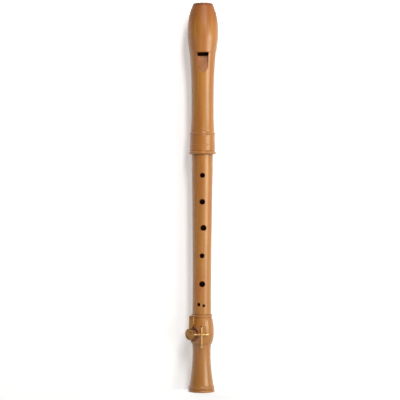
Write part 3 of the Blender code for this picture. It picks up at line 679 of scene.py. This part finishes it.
def windway_tool():
    """The groove of the windway's curved roof, from above the tip to a little below the labium."""
    spread = acos(WINDWAY_WIDTH / 2 / WINDWAY_CURVE_RADIUS)
    angles = np.linspace(-spread, -np.pi + spread, 17)
    roof = WINDWAY_CURVE_RADIUS * np.column_stack([np.cos(angles), np.sin(angles)])
    roof[:, 1] += WINDWAY_CURVE_RADIUS - ROOF_DEPTH
    half = WINDWAY_WIDTH / 2
    inside = -HEAD_BORE_RADIUS / 2
    outline = np.vstack([roof, [(-half, inside), (half, inside)]])
    low = HEAD_BASE + LABIUM_HEIGHT - LABIUM_UNDERCUT
    return prism("windway groove", outline, low, HEAD_BASE + HEAD_LENGTH + LABIUM_UNDERCUT, CUT)


def window_tool():
    """The window and the labium's ramp: a wedge seen from the side, widening down the ramp and outwards."""
    edge_depth = ROOF_DEPTH + LABIUM_EDGE
    ramp_end_depth = HEAD_SWELL_RADIUS + BLOCK_GAP
    slope = np.tan(radians(LABIUM_ANGLE))
    ramp_end = LABIUM_HEIGHT - (ramp_end_depth - edge_depth) / slope
    inside = HEAD_BORE_RADIUS / 2
    outside = 2 * HEAD_SWELL_RADIUS
    depth = np.array([outside, outside, ramp_end_depth, edge_depth, inside, inside])
    height = np.array([WINDWAY_END, ramp_end, ramp_end, LABIUM_HEIGHT, LABIUM_HEIGHT, WINDWAY_END])
    down = np.maximum(LABIUM_HEIGHT - height, 0)
    ramp_depth = edge_depth + down * slope
    half = WINDWAY_WIDTH / 2 + np.sin(radians(LABIUM_FLARE_ANGLE)) * down
    half = half + np.tan(radians(LABIUM_WALL_ANGLE)) * np.maximum(depth - ramp_depth, 0)
    sides = [np.column_stack([sign * half, -depth, height + HEAD_BASE]) for sign in (-1, 1)]
    return skin("window wedge", np.array(sides), CUT)


def make_head():
    rows = heights(
        (184.6, 184.0, 0.1), (184.0, 126.0, 1.0), (126.0, 124.2, 0.1), (124.2, 34.0, 1.4),
        (34.0, 31.0, 0.15), (31.0, 28.5, 0.4), (28.5, 23.0, 0.12), (23.0, 13.2, 0.7), (13.2, 10.4, 0.12),
        (10.4, 5.6, 0.6), (5.6, 0.3, 0.11),
    )
    rows = rows * HEAD_LENGTH / rows[0]
    outside = np.column_stack([head_outside(rows), rows])
    socket = UPPER_TENON_RADIUS + SOCKET_ROOM
    depth = UPPER_TENON_LENGTH + SOCKET_SPARE_DEPTH
    inside = [
        (COLLAR_GROOVE_RADIUS - BORE_EDGE, 0),
        (socket + BORE_EDGE, 0),
        (socket, BORE_EDGE),
        (socket, depth),
        (HEAD_BORE_RADIUS, depth),
        (HEAD_BORE_RADIUS, LABIUM_HEIGHT / 2),
        (HEAD_BORE_RADIUS, HEAD_LENGTH - BORE_EDGE),
        (HEAD_BORE_RADIUS + BORE_EDGE, HEAD_LENGTH),
    ]
    profile = np.vstack([outside, inside]) + (0, HEAD_BASE)
    head = turned(
        "head_wood", profile, PEAR, sides=WOOD_SIDES, ring=True,
        inner_row=len(outside) + 1, inner_finish=CUT,
    )
    carve(head, beak_tool())
    carve(head, windway_tool())
    carve(head, window_tool())
    hand_over(head, "head", "head_joint")


def make_block():
    """The cedar plug: round like the bore below and the windway's floor on top, cut like the beak."""
    radius = HEAD_BORE_RADIUS - BLOCK_GAP
    low = HEAD_BASE + WINDWAY_END
    high = HEAD_BASE + HEAD_LENGTH
    plug = [(0, high), (radius, high), (radius, low + BORE_EDGE), (radius - BORE_EDGE, low), (0, low)]
    block = turned("block_wood", plug, CEDAR, sides=WOOD_SIDES)
    floor_radius = WINDWAY_CURVE_RADIUS - WINDWAY_HEIGHT
    tall = (low - HEAD_LENGTH, high + HEAD_LENGTH)
    drum = [(0, tall[1]), (floor_radius, tall[1]), (floor_radius, tall[0]), (0, tall[0])]
    behind = np.eye(3, 4)
    behind[1, 3] = WINDWAY_CURVE_RADIUS - ROOF_DEPTH
    carve(block, turned("windway floor", drum, CEDAR, behind, 512), "INTERSECT")
    beak = beak_tool()
    beak.data.materials[0] = CEDAR
    carve(block, beak)
    hand_over(block, "head", "fipple_block")


def middle_outside(height):
    """Widens evenly from its waist, more towards the head, with two scored lines under the head."""
    up = np.clip((height - MIDDLE_WAIST_HEIGHT) / (MIDDLE_LENGTH - MIDDLE_WAIST_HEIGHT), 0, 1)
    down = np.clip(1 - height / MIDDLE_WAIST_HEIGHT, 0, 1)
    radius = MIDDLE_WAIST_RADIUS + (MIDDLE_TOP_RADIUS - MIDDLE_WAIST_RADIUS) * up**1.4
    radius = radius + (MIDDLE_END_RADIUS - MIDDLE_WAIST_RADIUS) * down**2
    top_edge = round_over(height, MIDDLE_LENGTH, MIDDLE_END_ROUND)
    end_edge = round_over(-height, 0, MIDDLE_END_ROUND)
    return radius - scored(height, *MIDDLE_LINES) - (top_edge + end_edge)


def tenon(radius, near, far):
    """Profile of a tenon from its shoulder to its end, with the groove that holds its cork."""
    inward = 1 if far > near else -1
    groove = radius - CORK_GROOVE_DEPTH
    start = near + inward * CORK_SHOULDER
    end = far - inward * CORK_SHOULDER
    corners = [(radius, near), (radius, start), (groove, start), (groove, end), (radius, end), (radius, far)]
    return eased(corners, TENON_EASE)


def hole_tool(name, height, radius, azimuth, host_radius, mouth):
    """A drill whose mouth widens with a quarter round along the wood's own surface.

    A point at radius p and angle a round the hole lies on the surface at the root of R R - (p sin a)^2
    from the bore's axis, and the mouth is counted from there.
    """
    angles = np.linspace(0, 2 * np.pi, 56, endpoint=False)
    quarter = np.linspace(0, radians(HOLE_MOUTH_TURN), 7)
    ring = np.concatenate([[radius, radius], radius + mouth * (1 - np.cos(quarter)), [radius + 2 * mouth]])
    above = np.concatenate([[-1, -1], -mouth * (1 - np.sin(quarter)), [DRILL_REACH]])
    across = ring[:, None] * np.sin(angles)
    up = ring[:, None] * np.cos(angles)
    surface = np.sqrt(host_radius**2 - np.minimum(np.abs(across), 0.9 * host_radius) ** 2)
    level = surface + above[:, None]
    level[0] = 0
    level[1] = host_radius / 2
    return skin(name, put(np.stack([across, up, level], -1), facing(azimuth, (0, 0, height))), CUT)


def make_middle():
    rows = heights((195.5, 190.4, 0.12), (190.4, 1.0, 2.2), (1.0, 0.0, 0.1))
    rows = rows * MIDDLE_LENGTH / rows[0]
    outside = np.column_stack([middle_outside(rows), rows])
    upper = tenon(UPPER_TENON_RADIUS, MIDDLE_LENGTH, TENON_TOP)[::-1]
    lower = tenon(LOWER_TENON_RADIUS, 0, -LOWER_TENON_LENGTH)
    bore = [(MIDDLE_BORE_END_RADIUS, -LOWER_TENON_LENGTH), (MIDDLE_BORE_TOP_RADIUS, TENON_TOP)]
    profile = np.vstack([upper, outside, lower, bore]) + (0, MIDDLE_BASE)
    wood = turned(
        "middle_wood", profile, PEAR, sides=WOOD_SIDES, ring=True,
        inner_row=len(profile) - 2, inner_finish=CUT,
    )
    for name, (height, diameter, azimuth) in FINGER_HOLES.items():
        host = float(middle_outside(np.array(height)))
        mouth = HOLE_MOUTH if diameter > SMALL_HOLE_DIAMETER else SMALL_HOLE_MOUTH
        tool = hole_tool(name + " hole", MIDDLE_BASE + height, diameter / 2, azimuth, host, mouth)
        carve(wood, tool)
    hand_over(wood, "middle", "middle_joint")


def make_cork(name, radius, near, far, body, node):
    """A cork band in its tenon's groove, rounded where it stands proud."""
    start = MIDDLE_BASE + near + CORK_SHOULDER + CORK_END_GAP
    end = MIDDLE_BASE + far - CORK_SHOULDER - CORK_END_GAP
    inner = radius - CORK_GROOVE_DEPTH + CORK_SEAT_GAP
    outer = radius + CORK_PROUD
    ring = eased([(outer, end), (outer, start), (inner, start), (inner, end)], CORK_EASE, ring=True)
    hand_over(turned(name, ring, CORK, sides=96, ring=True), body, node)


def foot_outside(height):
    """Top bead, swelling, neck, bell and beaded rim, each with a power of the distance from its middle."""
    up = np.clip((height - SWELL_MIDDLE_HEIGHT) / (SWELL_TOP_HEIGHT - SWELL_MIDDLE_HEIGHT), 0, 1)
    down = np.clip((SWELL_MIDDLE_HEIGHT - height) / (SWELL_MIDDLE_HEIGHT - SWELL_END_HEIGHT), 0, 1)
    swell = SWELL_RADIUS - (SWELL_RADIUS - SWELL_TOP_RADIUS) * up**2
    swell = swell - (SWELL_RADIUS - SWELL_END_RADIUS) * down**2.4
    rise = np.clip((height - NECK_WAIST_HEIGHT) / (SWELL_END_HEIGHT - NECK_WAIST_HEIGHT), 0, 1)
    fall = np.clip((NECK_WAIST_HEIGHT - height) / (NECK_WAIST_HEIGHT - RIM_HEIGHT), 0, 1)
    neck = NECK_WAIST_RADIUS + (NECK_TOP_RADIUS - NECK_WAIST_RADIUS) * rise**2
    neck = neck + (BELL_RADIUS - NECK_WAIST_RADIUS) * fall**BELL_POWER
    radius = np.where(height > SWELL_END_HEIGHT, swell, neck)
    radius = np.where(height > SWELL_TOP_HEIGHT, FOOT_GROOVE_RADIUS, radius)
    radius = np.where(height < RIM_HEIGHT, RIM_GROOVE_RADIUS, radius)
    groove_top = FOOT_LENGTH - CORK_END_GAP
    upper = bead(height, groove_top, FOOT_BEAD_HEIGHT, FOOT_GROOVE_RADIUS, FOOT_BEAD_RADIUS)
    rim = bead(height, RIM_HEIGHT, RIM_BEAD_HEIGHT, RIM_GROOVE_RADIUS, RIM_RADIUS)
    lip = bead(height, RIM_LIP_HEIGHT, RIM_LIP_HEIGHT + RIM_LIP_OVERRUN, RIM_GROOVE_RADIUS, RIM_RADIUS)
    beads = np.maximum(np.maximum(upper, rim), lip)
    return np.maximum(radius - scored(height, *FOOT_LINES), beads)


def make_foot():
    rows = heights(
        (94.3, 88.6, 0.11), (88.6, 60.0, 0.7), (60.0, 57.0, 0.2), (57.0, 8.0, 1.1), (8.0, 0.0, 0.11)
    )
    rows = rows * FOOT_LENGTH / rows[0]
    outside = np.column_stack([foot_outside(rows), rows])
    socket = LOWER_TENON_RADIUS + SOCKET_ROOM
    floor = FOOT_LENGTH - LOWER_TENON_LENGTH - SOCKET_SPARE_DEPTH
    inside = [
        (RIM_EDGE_RADIUS - BORE_EDGE, 0),
        (FOOT_BORE_END_RADIUS + BORE_EDGE, 0),
        (FOOT_BORE_END_RADIUS, BORE_EDGE),
        (FOOT_BORE_TOP_RADIUS, floor),
        (socket, floor),
        (socket, FOOT_LENGTH - BORE_EDGE),
        (socket + BORE_EDGE, FOOT_LENGTH),
    ]
    foot = turned(
        "foot_wood", np.vstack([outside, inside]), PEAR, sides=WOOD_SIDES, ring=True,
        inner_row=len(outside) + 1, inner_finish=CUT,
    )
    reach = AXLE_DISTANCE + UPPER_POST_HEAD_RADIUS
    pocket = eased(
        [
            (0, reach),
            (POCKET_RADIUS, reach),
            (POCKET_RADIUS, POCKET_FLOOR),
            (SEAT_RIM_RADIUS, POCKET_FLOOR),
            (SEAT_RIM_RADIUS, SEAT_DISTANCE),
            (0, SEAT_DISTANCE),
        ],
        POCKET_EASE,
    )
    seat = facing(SEAT_AZIMUTH, (0, 0, SEAT_HEIGHT))
    carve(foot, turned("seat pocket", pocket, CUT, seat, 96))
    drill = [(0, reach), (SEAT_HOLE_RADIUS, reach), (SEAT_HOLE_RADIUS, 0), (0, 0)]
    carve(foot, turned("seventh hole", drill, CUT, seat))
    flat = np.array([(-1, -reach), (1, -reach), (1, -KEY_FLAT_DISTANCE), (-1, -KEY_FLAT_DISTANCE)])
    flat[:, 0] *= SWELL_RADIUS
    low = SWELL_END_HEIGHT - CORK_END_GAP
    carve(foot, prism("key flat", flat, low, SEAT_HEIGHT + KEY_FLAT_RISE, PEAR))
    for height, surface in ((UPPER_POST_HEIGHT, KEY_FLAT_DISTANCE), (LOWER_POST_HEIGHT, post_surface())):
        radius = POST_SHANK_RADIUS + JOINT_GAP
        end = surface - POST_SHANK_LENGTH - JOINT_GAP
        post_hole = [(0, reach), (radius, reach), (radius, end), (0, end)]
        carve(foot, turned("post hole", post_hole, CUT, facing(0, (0, 0, height)), 32))
    hand_over(foot, "foot", "foot_joint")


def post_surface():
    """How far from the bore's axis the lower post leaves the wood."""
    return float(foot_outside(np.array(LOWER_POST_HEIGHT)))


def make_posts():
    """Two turned posts: a shank in the wood, a flange on it, a waisted neck, then a flat head or a ball."""
    axle = (0, -AXLE_DISTANCE, 0)
    for name, height, surface in (
        ("key_post_upper", UPPER_POST_HEIGHT, KEY_FLAT_DISTANCE),
        ("key_post_lower", LOWER_POST_HEIGHT, post_surface()),
    ):
        end = AXLE_DISTANCE - TUBE_RADIUS - JOINT_GAP
        base = surface + JOINT_GAP
        stem = [
            (0, end),
            (POST_NECK_RADIUS, end),
            (POST_NECK_RADIUS * POST_WAIST_SHARE, (end + base) / 2),
            (POST_FLANGE_RADIUS, base + POST_FLANGE_HEIGHT),
            (POST_FLANGE_RADIUS, base),
            (POST_SHANK_RADIUS, base),
            (POST_SHANK_RADIUS, surface - POST_SHANK_LENGTH),
            (0, surface - POST_SHANK_LENGTH),
        ]
        post = turned(name + "_brass", eased(stem, POST_EASE), BRASS, facing(0, (0, 0, height)), 48)
        if height == UPPER_POST_HEIGHT:
            half = UPPER_POST_HEAD_THICKNESS / 2
            radius = UPPER_POST_HEAD_RADIUS
            profile = eased([(0, half), (radius, half), (radius, -half), (0, -half)], POST_HEAD_EASE)
        else:
            angles = np.linspace(np.pi / 2, -np.pi / 2, 25)
            profile = LOWER_POST_BALL_RADIUS * np.column_stack([np.cos(angles), np.sin(angles)])
            profile[[0, -1], 0] = 0
        head = turned(name + "_head", profile + (0, height), BRASS, np.column_stack([np.eye(3), axle]), 48)
        carve(post, head, "UNION")
        hole = AXLE_RADIUS + AXLE_CLEARANCE
        reach = 2 * UPPER_POST_HEAD_RADIUS
        drill = [(0, height + reach), (hole, height + reach), (hole, height - reach), (0, height - reach)]
        carve(post, turned("pin hole", drill, BRASS, np.column_stack([np.eye(3), axle]), 32))
        hand_over(post, "foot", name)


def make_pin_and_tube():
    """The steel pivot pin with rounded ends, and the brass tube that turns on it, with two turned rings."""
    axle = np.column_stack([np.eye(3), (0, -AXLE_DISTANCE, 0)])
    low = LOWER_POST_HEIGHT - LOWER_POST_BALL_RADIUS - AXLE_END
    high = UPPER_POST_HEIGHT + UPPER_POST_HEAD_THICKNESS / 2 + AXLE_END
    rod = eased([(0, high), (AXLE_RADIUS, high), (AXLE_RADIUS, low), (0, low)], AXLE_EASE)
    pin = turned("pivot_pin", rod, STEEL, axle, 32)
    across = np.array([(-1, -1), (1, -1), (1, 1), (-1, 1)]) * (2 * AXLE_RADIUS, AXLE_SLOT_HALF_WIDTH)
    carve(pin, prism("pin slot", across, high - AXLE_SLOT_DEPTH, high + AXLE_END, STEEL, axle))
    hand_over(pin, "foot", "key_axle")

    low = LOWER_POST_HEIGHT + LOWER_POST_BALL_RADIUS + JOINT_GAP
    high = UPPER_POST_HEIGHT - UPPER_POST_HEAD_THICKNESS / 2 - JOINT_GAP
    bore = AXLE_RADIUS + AXLE_CLEARANCE
    rows = np.linspace(high - TUBE_EDGE, low + TUBE_EDGE, 241)
    ring_places = (high - TUBE_RING_OFFSET, low + TUBE_RING_OFFSET)
    rings = [(place, TUBE_EDGE, TUBE_RING_HALF_WIDTH) for place in ring_places]
    outside = np.column_stack([TUBE_RADIUS - scored(rows, *rings), rows])
    ends = [(TUBE_RADIUS - TUBE_EDGE, low), (bore, low), (bore, high), (TUBE_RADIUS - TUBE_EDGE, high)]
    tube = turned("hinge_tube", np.vstack([outside, ends]), BRASS, axle, 40, ring=True)
    hand_over(tube, "key", "key_hinge_tube")


def key_place(side=0.0):
    """The key's place at rest: right and out from the pivot, turned open, its origin moved sideways."""
    rest = facing(SEAT_AZIMUTH + KEY_OPENING, (0, -AXLE_DISTANCE, SEAT_HEIGHT))
    rest[:, 3] += rest[:, 0] * side
    return rest


def make_cup_and_pad():
    """A dished cup with a turned ring and a rounded rim, and the leather pad that stands proud of it."""
    place = key_place(-PAD_OFFSET)
    inner = PAD_CUP_RADIUS - PAD_CUP_WALL
    face_radius = PAD_CUP_RADIUS - CUP_ROLL
    radius = np.linspace(0, face_radius, 60)
    face = CUP_FACE - CUP_DISH_DEPTH * smooth_step((radius - CUP_BOSS_RADIUS) / CUP_BOSS_SLOPE)
    face = face + CUP_DISH_DEPTH * smooth_step((radius - CUP_RING_RADIUS) / CUP_RING_SLOPE)
    face = face - scored(radius, CUP_LINE)
    edge = np.linspace(0, np.pi / 2, 7)[1:]
    rolled = np.column_stack(
        [face_radius + CUP_ROLL * np.sin(edge), CUP_FACE - CUP_ROLL + CUP_ROLL * np.cos(edge)]
    )
    low = CUP_FACE - PAD_CUP_DEPTH
    rest = [
        (PAD_CUP_RADIUS, low + CUP_EDGE),
        (PAD_CUP_RADIUS - CUP_EDGE, low),
        (inner, low),
        (inner, CUP_FACE - PAD_CUP_FACE),
        (0, CUP_FACE - PAD_CUP_FACE),
    ]
    profile = np.vstack([np.column_stack([radius, face]), rolled, rest])
    # The cup takes the brass darkened with painted shade.
    hand_over(turned("cup_brass", profile, SHADE_PAINTED_BRASS, place, 96), "key", "pad_cup")
    pad_radius = inner - JOINT_GAP
    pad_high = CUP_FACE - PAD_CUP_FACE - JOINT_GAP
    pad_low = low - PAD_PROUD
    pad = eased([(0, pad_high), (pad_radius, pad_high), (pad_radius, pad_low), (0, pad_low)], PAD_EASE)
    hand_over(turned("pad_disc", pad, KID, place, 96), "key", "key_pad")


def make_arm():
    """A rounded bar from the tube to the cup's wall: rounded squares carried along a straight line."""
    start = np.array([-(PAD_OFFSET - PAD_CUP_RADIUS - JOINT_GAP), CUP_FACE - PAD_CUP_DEPTH / 2])
    along = start / np.linalg.norm(start)
    near = along * (TUBE_RADIUS + JOINT_GAP)
    aside_near = np.array([-along[1], along[0]]) * PAD_CUP_DEPTH * ARM_HALF_SHARE
    aside_far = np.array([0, PAD_CUP_DEPTH * ARM_HALF_SHARE])
    if aside_near[1] < 0:
        aside_near = -aside_near
    share = np.linspace(0, 1, 25)[:, None]
    centre = near + (start - near) * share
    aside = aside_near + (aside_far - aside_near) * share
    slim = 1 - ARM_WAIST_SHARE * np.sin(np.pi * share)
    across, up = oval(28, ARM_SQUARENESS)
    right = centre[:, :1] + aside[:, :1] * slim * across
    out = centre[:, 1:] + aside[:, 1:] * slim * across
    tall = np.broadcast_to(up * ARM_HEIGHT / 2, right.shape) * slim
    bar = skin("arm_bar", put(np.stack([right, tall, out], -1), key_place()), BRASS)
    hand_over(bar, "key", "key_arm")


def make_touch():
    """The little finger's tongue: rounded squares stacked up from the cup, hollow on the wood's side."""
    rim = PAD_CUP_RADIUS + JOINT_GAP
    angles = np.linspace(np.pi / 2, 0, 6)
    corner_start = TOUCH_LENGTH - TOUCH_CORNER_RADIUS
    height = np.concatenate([
        rim + TOUCH_EDGE * (1 - np.sin(angles)),
        np.linspace(rim + TOUCH_ROOT_HEIGHT, corner_start, 40),
        corner_start + np.linspace(TOUCH_STEP, TOUCH_CORNER_RADIUS - TOUCH_EDGE, 8),
        TOUCH_LENGTH - TOUCH_EDGE * (1 - np.sin(angles[::-1])),
    ])
    inset = np.zeros(len(height))
    inset[:6] = TOUCH_EDGE * (1 - np.cos(angles))
    inset[-6:] = TOUCH_EDGE * (1 - np.cos(angles[::-1]))
    widen = smooth_step((height - rim) / (TOUCH_CUT_HEIGHT - rim))
    right_edge = TOUCH_ROOT_OFFSET + (TOUCH_NEAR_OFFSET - TOUCH_ROOT_OFFSET) * widen
    corner = round_over(height, TOUCH_LENGTH + TOUCH_STEP, TOUCH_CORNER_RADIUS)
    middle = (right_edge - TOUCH_FAR_OFFSET) / 2
    half = (right_edge + TOUCH_FAR_OFFSET) / 2 - corner - inset
    across, through = oval(64, TOUCH_SQUARENESS)
    side = middle[:, None] + half[:, None] * across
    hollow = SWELL_RADIUS + TOUCH_CLEARANCE
    back = np.sqrt(hollow**2 - np.minimum(np.abs(side), 0.9 * hollow) ** 2) - AXLE_BEHIND
    back = np.maximum(back, CUP_FACE - PAD_CUP_DEPTH - PAD_PROUD) + inset[:, None]
    crown = TOUCH_CROWN * (side / TOUCH_NEAR_OFFSET) ** 2
    front = CUP_FACE - inset[:, None] - crown
    out = back + (front - back) * (through + 1) / 2
    lowest = np.sqrt(np.maximum(rim**2 - side**2, 0))
    settle = (1 - np.clip((height - rim) / (TOUCH_LENGTH - rim), 0, 1))[:, None] ** 3
    up = height[:, None] + (lowest - rim) * settle
    # The touch takes the brass darkened with painted shade.
    piece = skin("touch_plate", put(np.stack([side, up, out], -1), key_place(-PAD_OFFSET)), SHADE_PAINTED_BRASS)
    hand_over(piece, "key", "key_touch")


def bent_bar(name, finish, inner, outer, start, end, tall, power, tip):
    """A bar bent round the bore's axis: rounded squares carried along an arc, with a rounded tip."""
    middle = (inner + outer) / 2
    angles = np.radians(np.linspace(start, end, 40))
    left = (angles[-1] - angles) * middle
    into = np.clip(1 - left / tip, 0, 1)
    slim = np.maximum(np.sqrt(1 - into**2), 0.25)[:, None]
    through, up = oval(28, power)
    distance = middle + (outer - inner) / 2 * through * slim
    level = SEAT_HEIGHT + tall / 2 * up * slim
    sine, cosine = np.sin(angles)[:, None], np.cos(angles)[:, None]
    return skin(name, np.stack([distance * sine, -distance * cosine, level], -1), finish)


def make_tail():
    centre = AXLE_DISTANCE + TAIL_RISE
    inner = centre - TAIL_THICKNESS / 2
    start = np.degrees((TUBE_RADIUS + JOINT_GAP) / AXLE_DISTANCE)
    bar = bent_bar(
        "tail_bar", BRASS, inner, centre + TAIL_THICKNESS / 2, start, TAIL_SWEEP,
        ARM_HEIGHT, TAIL_SQUARENESS, TAIL_TIP,
    )
    hand_over(bar, "key", "key_tail")
    outer = inner - JOINT_GAP
    rest = bent_bar(
        "tail_rest", CORK, outer - TAIL_CORK_THICKNESS, outer, TAIL_SWEEP - TAIL_CORK_SWEEP, TAIL_SWEEP,
        ARM_HEIGHT, TAIL_CORK_SQUARENESS, TAIL_CORK_TIP,
    )
    hand_over(rest, "key", "tail_cork")


def make_spring():
    """A tapered needle from the lower post to the arm: circles on a line that leans left, bent a little."""
    low = LOWER_POST_HEIGHT + POST_NECK_RADIUS + JOINT_GAP
    high = SEAT_HEIGHT - ARM_HEIGHT / 2 - SPRING_SHORT
    share = np.linspace(0, 1, 30)[:, None]
    radius = SPRING_RADIUS * (1 - SPRING_TAPER * share)
    angles = np.linspace(0, 2 * np.pi, 16, endpoint=False)
    side = radius * np.cos(angles) - SPRING_LEAN * share**SPRING_BEND
    depth = radius * np.sin(angles) - (AXLE_DISTANCE - SPRING_INSET)
    level = np.broadcast_to(low + (high - low) * share, side.shape)
    needle = skin("needle_spring", np.stack([side, depth, level], -1), STEEL)
    hand_over(needle, "foot", "key_spring")


make_head()
make_block()
make_middle()
make_cork("upper_cork_band", UPPER_TENON_RADIUS, MIDDLE_LENGTH, TENON_TOP, "upper_cork", "upper_tenon_cork")
make_cork("lower_cork_band", LOWER_TENON_RADIUS, -LOWER_TENON_LENGTH, 0, "lower_cork", "lower_tenon_cork")
make_foot()
make_posts()
make_pin_and_tube()
make_cup_and_pad()
make_arm()
make_touch()
make_tail()
make_spring()

# Floor and backdrop, light and camera
BACKDROP_Y = 0.0195
BACKDROP_REACH = 4
FLOOR_REACH = 40
LAMP_AIM = (0, 0, 0.24)
LAMP_DISTANCE = 1.9
ROOM_LIGHT = 0.24
WARM_WHITE = (1, 0.98, 0.78)
CAMERA_DISTANCE = 1.70
CAMERA_HEIGHT = 0.2345
CAMERA_SIDE = -0.0027
CAMERA_ROLL = 0.23
FRAME_WIDTH = 0.4904
SENSOR_WIDTH = 36
VIEW_DEPTH = 100


def paper(name, corners, shade, lift):
    """A plain white sheet through four corners, seen from its front only, so it hides nothing from behind.

    What the camera sees of it is lifted towards white, and shadows stay on it.
    """
    mesh = bpy.data.meshes.new(name)
    mesh.from_pydata(corners, [], [(0, 1, 2, 3)])
    sheet = bpy.data.objects.new(name, mesh)
    bpy.context.scene.collection.objects.link(sheet)
    white = Finish(name + " white")
    eye = white.node("ShaderNodeLightPath", output="Is Camera Ray")
    glossy = white.node("ShaderNodeLightPath", output="Is Glossy Ray")
    through = white.node("ShaderNodeLightPath", output="Is Transmission Ray")
    matt = white.node("ShaderNodeBsdfDiffuse", None, {"Color": tint(shade, shade, shade)})
    glow = {"Color": (1, 1, 1, 1), "Strength": (eye + glossy + through) * lift}
    lifted = white.node("ShaderNodeEmission", None, glow)
    front = white.node("ShaderNodeAddShader", None, {0: matt, 1: lifted})
    behind = white.node("ShaderNodeNewGeometry", output="Backfacing")
    clear = white.node("ShaderNodeBsdfTransparent")
    shown = white.node("ShaderNodeMixShader", None, {0: behind, 1: front, 2: clear})
    white.node("ShaderNodeOutputMaterial", None, {"Surface": shown})
    mesh.materials.append(white.material)
    return sheet


def lamp(name, azimuth, rise, width, height, power, colour=(1, 1, 1)):
    """A softbox at an azimuth and a rise over the level, both in degrees, that faces the object's middle."""
    turn, up = radians(azimuth), radians(rise)
    away = Vector((sin(turn) * cos(up), -cos(turn) * cos(up), sin(up)))
    light = bpy.data.lights.new(name, "AREA")
    light.shape = "RECTANGLE"
    light.size = width
    light.size_y = height
    light.energy = power
    light.color = colour
    obj = bpy.data.objects.new(name, light)
    obj.location = Vector(LAMP_AIM) + away * LAMP_DISTANCE
    obj.rotation_euler = (-away).to_track_quat("-Z", "Y").to_euler()
    bpy.context.scene.collection.objects.link(obj)


floor_corners = [(x * FLOOR_REACH, y * FLOOR_REACH, 0) for x, y in ((-1, -1), (1, -1), (1, 1), (-1, 1))]
backdrop_corners = [
    (x * BACKDROP_REACH, BACKDROP_Y, z * BACKDROP_REACH) for x, z in ((-1, 0), (1, 0), (1, 1), (-1, 1))
]
paper("floor", floor_corners, 190, 0.56)
backdrop = paper("backdrop", backdrop_corners, 252, 0.32)
backdrop.visible_diffuse = False
backdrop.visible_shadow = False
lamp("key light", 52, 3, 1.1, 0.6, 18.5, WARM_WHITE)
lamp("top light", 17, 42, 0.34, 1.1, 20)
lamp("back light", 190, 50, 1.2, 0.8, 14)

world = bpy.data.worlds.new("pale room")
bpy.context.scene.world = world
world.use_nodes = True
world.node_tree.nodes["Background"].inputs["Color"].default_value = (1, 1, 1, 1)
world.node_tree.nodes["Background"].inputs["Strength"].default_value = ROOM_LIGHT

camera_data = bpy.data.cameras.new("camera")
camera_data.sensor_width = SENSOR_WIDTH
camera_data.lens = SENSOR_WIDTH * CAMERA_DISTANCE / FRAME_WIDTH
camera_data.clip_end = VIEW_DEPTH
camera = bpy.data.objects.new("camera", camera_data)
look_along_y = Matrix.Rotation(radians(90), 4, "X")
roll = Matrix.Rotation(radians(CAMERA_ROLL), 4, "Z")
camera.matrix_world = Matrix.Translation((CAMERA_SIDE, -CAMERA_DISTANCE, CAMERA_HEIGHT)) @ look_along_y @ roll
bpy.context.scene.collection.objects.link(camera)
bpy.context.scene.camera = camera
bpy.context.scene.view_settings.view_transform = "Standard"
